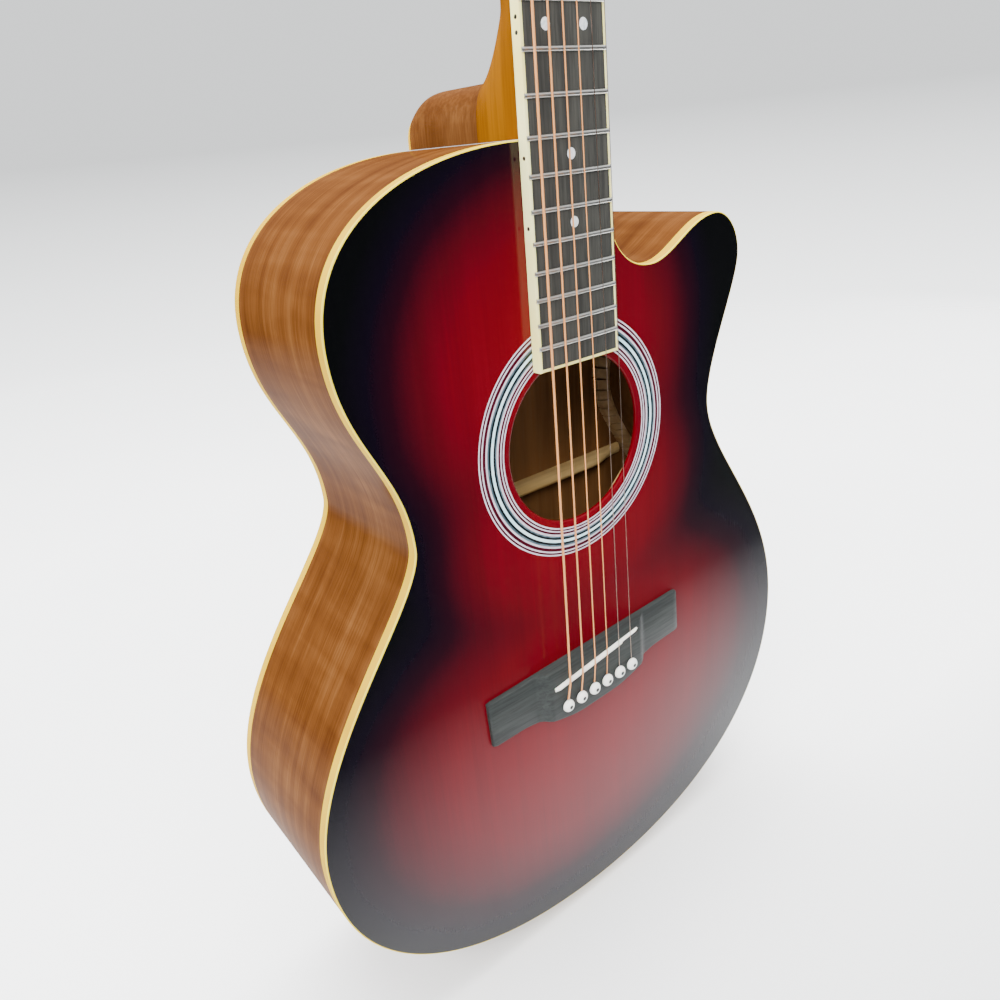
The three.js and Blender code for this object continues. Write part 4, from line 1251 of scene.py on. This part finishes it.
def screws(name, spots, y, radius, direction):
    """Domed heads with a black cross as painted shade of their cross slots, facing along `direction`
    (-1 front, 1 back).
    """
    dome = [(0, -2.5), (radius * 0.45, -2.5), (radius * 0.5, 0), (radius, 0.02), (radius, 0.25),
            (radius * 0.86, 0.55), (radius * 0.6, 0.8), (radius * 0.3, 0.92), (0, 0.95)]
    arm, width = radius * 0.62, radius * 0.14
    y0, y1 = sorted((y + direction * 0.5, y + direction * 0.965))
    heads = [turned(dome, (x, y, z), (0, direction, 0), 20) for x, z in spots]
    # black boxes where the cross slots are: painted shade, not a recess
    slot_shade_crosses = [box(x - dx, x + dx, y0, y1, z - dz, z + dz)
               for x, z in spots for dx, dz in ((arm, width), (width, arm))]
    make(name, grouped(heads, slot_shade_crosses), [NICKEL, BLACK_DOT], slot="nickel", head=True)


def rod_cover():
    """A bell-shaped cover over the truss rod, held by three screws."""
    front, back = -4.1, -2.1
    right = [(11, 3), (11.2, 5), (10.9, 9), (9.6, 13), (7.4, 17.5), (5.2, 22), (4.0, 26.5), (2.8, 30.5),
             (1.4, 33)]
    rim = right + [(0, 34)] + [(-x, z) for x, z in reversed(right)]
    make("truss_cover", prism(rim, front, back), WHITE_PLASTIC, "truss_rod_cover", "cream_plastic",
         head=True, bevel=0.6)
    screws("truss_cover_screws", [(-8.2, 6), (8.2, 6), (0, 29.5)], front, 1.3, -1)


def bushings():
    """Pressed-in collars round the posts on the front of the headstock."""
    profile = [(3.15, 6.0), (4.1, 6.0), (4.1, -1.85), (6.1, -1.88), (6.3, -2.2), (6.05, -2.75),
               (5.2, -3.2), (4.3, -3.45), (3.5, -3.5), (3.15, -3.3)]
    parts = [turned(profile, (x, 0, z), (0, 1, 0), 40, closed_path=True) for x, z in post_spots()]
    make("post_bushings", grouped(parts)[:2], NICKEL, slot="nickel", head=True, sharp=50)


def ear_plate(x0, x1, z):
    """An upright tongue across the shaft, round at the top, with a hole for the shaft."""
    half, foot, hole = 3.6, 4.3, 2.1
    outer, inner = [], []
    for a in turn_angles(28):
        c, s = math.cos(a), math.sin(a)
        u, w = half * c, 3.4 * s
        if s < 0:
            k = min(1 / max(abs(c), abs(s) / 1.02), 1.45)
            u, w = max(-half, min(half, half * c * k)), max(-foot, foot * s * k)
        outer.append((u, w))
        inner.append((hole * c, hole * s))
    rings = [[(x, SHAFT_Y + w, z + u) for u, w in loop]
             for x, loop in ((x0, outer), (x1, outer), (x1, inner), (x0, inner))]
    return loft(rings, closed_path=True)


def tuner_plates():
    """Open-geared plates: pierced ears carry each worm, and screws hold the plate down."""
    front, half, corner = 15.3, 5, 2.5
    z0, z1 = 35.0, 129 + WORM_OFFSET
    ear_near, ear_far = 5.4, 6.8
    for side, name in ((-1, "bass"), (1, "treble")):
        x = side * POST_X
        spots = [z for _, hand, z in MACHINES if hand == side]
        rim = []
        for dx, cz, start in ((half, z1 - corner, 0), (-half, z1 - corner, 90),
                              (-half, z0 + corner, 180), (half, z0 + corner, 270)):
            for a in np.radians([start + k for k in (0, 22, 45, 68, 90)]):
                rim.append((x + dx + corner * math.cos(a), cz + corner * math.sin(a)))
        parts = [prism(rim, front, PLATE_BACK, [circle(x, z, 3.35, 24) for z in spots])]
        for z in spots:
            for ear in ((x - ear_far, x - ear_near), (x + ear_near, x + ear_far)):
                parts.append(ear_plate(*ear, z + WORM_OFFSET))
        make(f"machine_plate_{name}", grouped(parts)[:2], NICKEL, f"tuner_plate_{name}", "nickel",
             head=True, sharp=35)
        beside = side * 2.6
        places = [(x, 37.2), (x + beside, 63.5), (x + beside, 101.5), (x, z1 - 2.6)]
        screws(f"plate_screws_{name}", places, PLATE_BACK, 1.5, 1)


def waved(radii, wave, depth, steepness):
    """Radii cut in by a clipped wave, as teeth or a thread."""
    return radii - depth * (0.5 - 0.5 * np.clip(wave * steepness, -1, 1))


def toothed(radii, along, angles):
    """The fourteen teeth of a worm wheel."""
    return waved(radii, np.cos(angles * 14), 0.55, 1.8) if 17.85 < along < 22.05 else radii


def threaded(radii, along, angles):
    """The thread of a worm."""
    lead = 2.4
    wave = np.cos(angles - along * 2 * math.pi / lead)
    return waved(radii, wave, 0.75, 1.6) if abs(along) < 3.95 else radii


def winding(label, side, z):
    """The last turns of a string round the waist of its post."""
    material, slot = wire_looks(6 - label)
    radius = STRING_RADII[6 - label]
    turns = 3.2 if label > 3 else 4.6
    pitch = 2 * radius + 0.03
    top = POST_WAIST_Y - turns * pitch / 2
    start = math.pi if side > 0 else 0
    angles = np.linspace(0, turns * 2 * math.pi, int(turns * 22))
    coil = []
    for a in angles:
        y = top + pitch * a / (2 * math.pi)
        wrap = 2.22 + radius + 0.65 * smooth_step((abs(y - POST_WAIST_Y) - 0.9) / 2.2)
        spin = start + (a - angles[-1]) * side
        coil.append((side * POST_X + wrap * math.cos(spin), y, z + wrap * math.sin(spin)))
    solid, uv = tube(coil, radius, 10)
    make(f"winding_{label}", solid, material, slot=slot, body=f"string_post_{label}", head=True,
         uv=uv, sharp=60)


def string_post(label, side, z):
    """Post with a string hole and its worm wheel."""
    profile = [
        (0, -19), (1.9, -19), (2.5, -18.9), (2.9, -18.5), (3.0, -18.0), (3.0, -13.1), (2.85, -12.4),
        (2.35, -11.4), (2.2, -10.6), (2.2, -8.4), (2.35, -7.6), (2.85, -6.6), (3.0, -5.9), (3.0, 17.68),
        (5.4, 17.7), (5.6, 17.9), (5.6, 22.0), (5.4, 22.2), (3.1, 22.2), (3.1, 22.6), (2.9, 23.2),
        (2.0, 23.35), (0, 23.4)]
    x = side * POST_X
    post = make(f"post_{label}", turned(profile, (x, 0, z), (0, 1, 0), 84, toothed), NICKEL,
                f"string_post_{label}", "nickel", f"string_post_{label}", head=True, sharp=32)
    vertices, faces = turned([(0.8, -6), (0.8, 6)], (x, -14.9, z), (0.3, 0, 1), 20)
    carve(post, [(head_to_body(vertices), faces)])


def tuner_button(label, side, z):
    """Worm on a shaft through the ears, and a flattened kidney-shaped button."""
    cx, cy, cz = side * POST_X, SHAFT_Y, z + WORM_OFFSET
    profile = [(0, -7.4), (1.5, -7.4), (1.85, -7.0), (1.9, -5.2), (1.9, -4.1)]
    profile += [(2.9, along) for along in np.linspace(-4.0, 4.0, 52)]
    profile += [(1.9, 4.1), (1.9, 14.0), (2.3, 14.4), (2.3, 15.2), (1.95, 15.6), (1.95, 18.9),
                (3.0, 19.1), (3.3, 19.8), (3.1, 20.8), (2.4, 22.4), (0, 22.5)]
    shaft = turned(profile, (cx, cy, cz), (side, 0, 0), 36, threaded)
    reach, half_wide, half_thick, half_long = 28, 9, 3.9, 6.95
    rings = []
    for t in np.linspace(0, math.pi, 26):
        along, size = -math.cos(t), max(math.sin(t) ** 0.72, 0.01)
        ring = []
        for a in turn_angles(40):
            c, s = math.cos(a), math.sin(a)
            wide = half_wide * math.copysign(abs(c) ** 0.85, c) * size
            thick = half_thick * math.copysign(abs(s) ** 0.8, s) * size ** 0.9
            waist = 1 - 0.16 * math.exp(-(wide / 3.4) ** 2) if along > 0 else 1
            ring.append((cx + side * (reach + half_long * along * waist), cy + thick, cz + wide))
        rings.append(ring)
    make(f"tuner_{label}", grouped([shaft], [loft(rings)]), [NICKEL, PEARL_BUTTON],
         f"tuner_button_{label}", "cream_plastic", f"tuner_button_{label}", head=True, sharp=35)


headstock()
rod_cover()
bushings()
tuner_plates()
for machine in MACHINES:
    string_post(*machine)
    winding(*machine)
    tuner_button(*machine)


# ---------------------------------------------------------------- kept CAD pieces


def finish_cad(node, material, bevel_mm):
    piece = frame["nodes"][node]
    piece.data.materials.clear()
    piece.data.materials.append(material)
    add_bevel(piece, bevel_mm, 2, 40)


for name in ("x_brace_bass", "x_brace_treble", "tone_bar_upper", "tone_bar_lower",
             "upper_transverse_brace"):
    finish_cad(name, PAINTED_LIGHT_SPRUCE, 1.2)
finish_cad("bridge_plate", MAPLE, 0.3)
finish_cad("neck_block", BLOCK_WOOD, 0.6)
finish_cad("tail_block", BLOCK_WOOD, 0.6)
finish_cad("truss_rod", NICKEL, 0.4)


# ---------------------------------------------------------------- studio


def studio_floor():
    """A pale floor that thins out towards the front and far away, so the gloss shows no edge of it."""
    g = Graph("studio_floor")
    cloud, fine = g.noise(3, 2), g.noise(160, 3)
    x, y, _ = g.split(g.place)
    front = g.remap(y, -0.29, -0.10, 0, 1)
    far = g.remap(g.distance(x, y), 0.9, 2.4, 1, 0)
    corners = [(-4000, -1200), (4000, -1200), (4000, 4000), (-4000, 4000)]
    points = [(x, y - FACE, -0.5 - TAIL) for x, y in corners]
    floor = new_object("studio_floor", points, [range(4)])
    tint = g.mix(cloud, (0.86, 0.87, 0.88), (0.93, 0.93, 0.93))
    floor.data.materials.append(g.finish(
        Base_Color=tint, Roughness=g.rough(fine, 0.6, 0.8), Specular_IOR_Level=0.2,
        Alpha=g.times(front, far), Normal=g.bump(fine, 0.3, 0.5)))


def area_light(name, place, target, size, power):
    """A soft lamp that lights the guitar, but doesn't show in its gloss."""
    light = bpy.data.lights.new(name, "AREA")
    light.shape = "RECTANGLE"
    light.size, light.size_y = size
    light.energy = power
    lamp = bpy.data.objects.new(name, light)
    bpy.context.scene.collection.objects.link(lamp)
    lamp.location = place
    lamp.rotation_mode = "QUATERNION"
    lamp.rotation_quaternion = (Vector(target) - Vector(place)).to_track_quat("-Z", "Y")
    lamp.visible_glossy = False


def world():
    """The camera sees a pale backdrop, gloss sees a dim room with a soft pale ceiling, and a
    plain ambient light falls on everything else."""
    sky = bpy.data.worlds.new("studio")
    bpy.context.scene.world = sky
    sky.use_nodes = True
    tree = sky.node_tree
    tree.nodes.clear()

    def node(kind, *inputs):
        made = tree.nodes.new("ShaderNode" + kind)
        for socket, value in zip(made.inputs, inputs):
            if isinstance(value, bpy.types.NodeSocket):
                tree.links.new(value, socket)
            elif value is not None:
                socket.default_value = value
        return made

    paths = node("LightPath").outputs
    up = node("SeparateXYZ", node("TexCoord").outputs["Generated"]).outputs[2]
    ceiling = node("ValToRGB", up)
    for stop, position, colour in zip(ceiling.color_ramp.elements, (0.12, 0.62), (
            (0.05, 0.052, 0.056, 1), (1.3, 1.32, 1.35, 1))):
        stop.position, stop.color = position, colour
    backdrop = node("MapRange", up, -0.20, 0.02, 3.7, 1.30).outputs[0]
    mirrored = node("Background", ceiling.outputs[0], 1.0).outputs[0]
    seen = node("Background", (0.93, 0.95, 0.96, 1), backdrop).outputs[0]
    ambient = node("Background", (0.96, 0.98, 1.0, 1), 1.6).outputs[0]
    unseen = node("MixShader", paths["Is Glossy Ray"], ambient, mirrored).outputs[0]
    node("OutputWorld", node("MixShader", paths["Is Camera Ray"], unseen, seen).outputs[0])


def camera():
    """The photo's camera, found from the frets: in front of the bass side, looking down."""
    lens = bpy.data.cameras.new("camera")
    lens.lens, lens.sensor_width = 28.945, 36
    lens.shift_x = 0.007
    lens.clip_start = 0.01
    cam = bpy.data.objects.new("camera", lens)
    bpy.context.scene.collection.objects.link(cam)
    cam.location = (-0.28413, (FACE - 308.2) / 1000, (TAIL + 483.8) / 1000)
    forward = Vector((0.53615, 0.74104, -0.40423)).normalized()
    right = forward.cross(Vector((0.31814, 0.26617, 0.90991))).normalized()
    up = right.cross(forward)
    cam.rotation_mode = "QUATERNION"
    cam.rotation_quaternion = Matrix((right, up, -forward)).transposed().to_quaternion()
    bpy.context.scene.camera = cam


studio_floor()
world()
area_light("key", (-1.6, -1.2, 1.9), (0, 0, 0.4), (1.6, 1.2), 125)
area_light("overhead", (0.2, 0.4, 2.4), (0.1, 0.2, 0.0), (2.2, 2.2), 190)
area_light("fill", (1.9, 0.3, 0.9), (0, 0, 0.3), (1.0, 1.4), 38)
area_light("back", (-0.8, 2.2, 1.3), (0, 0, 0.4), (1.5, 1.2), 62)
camera()
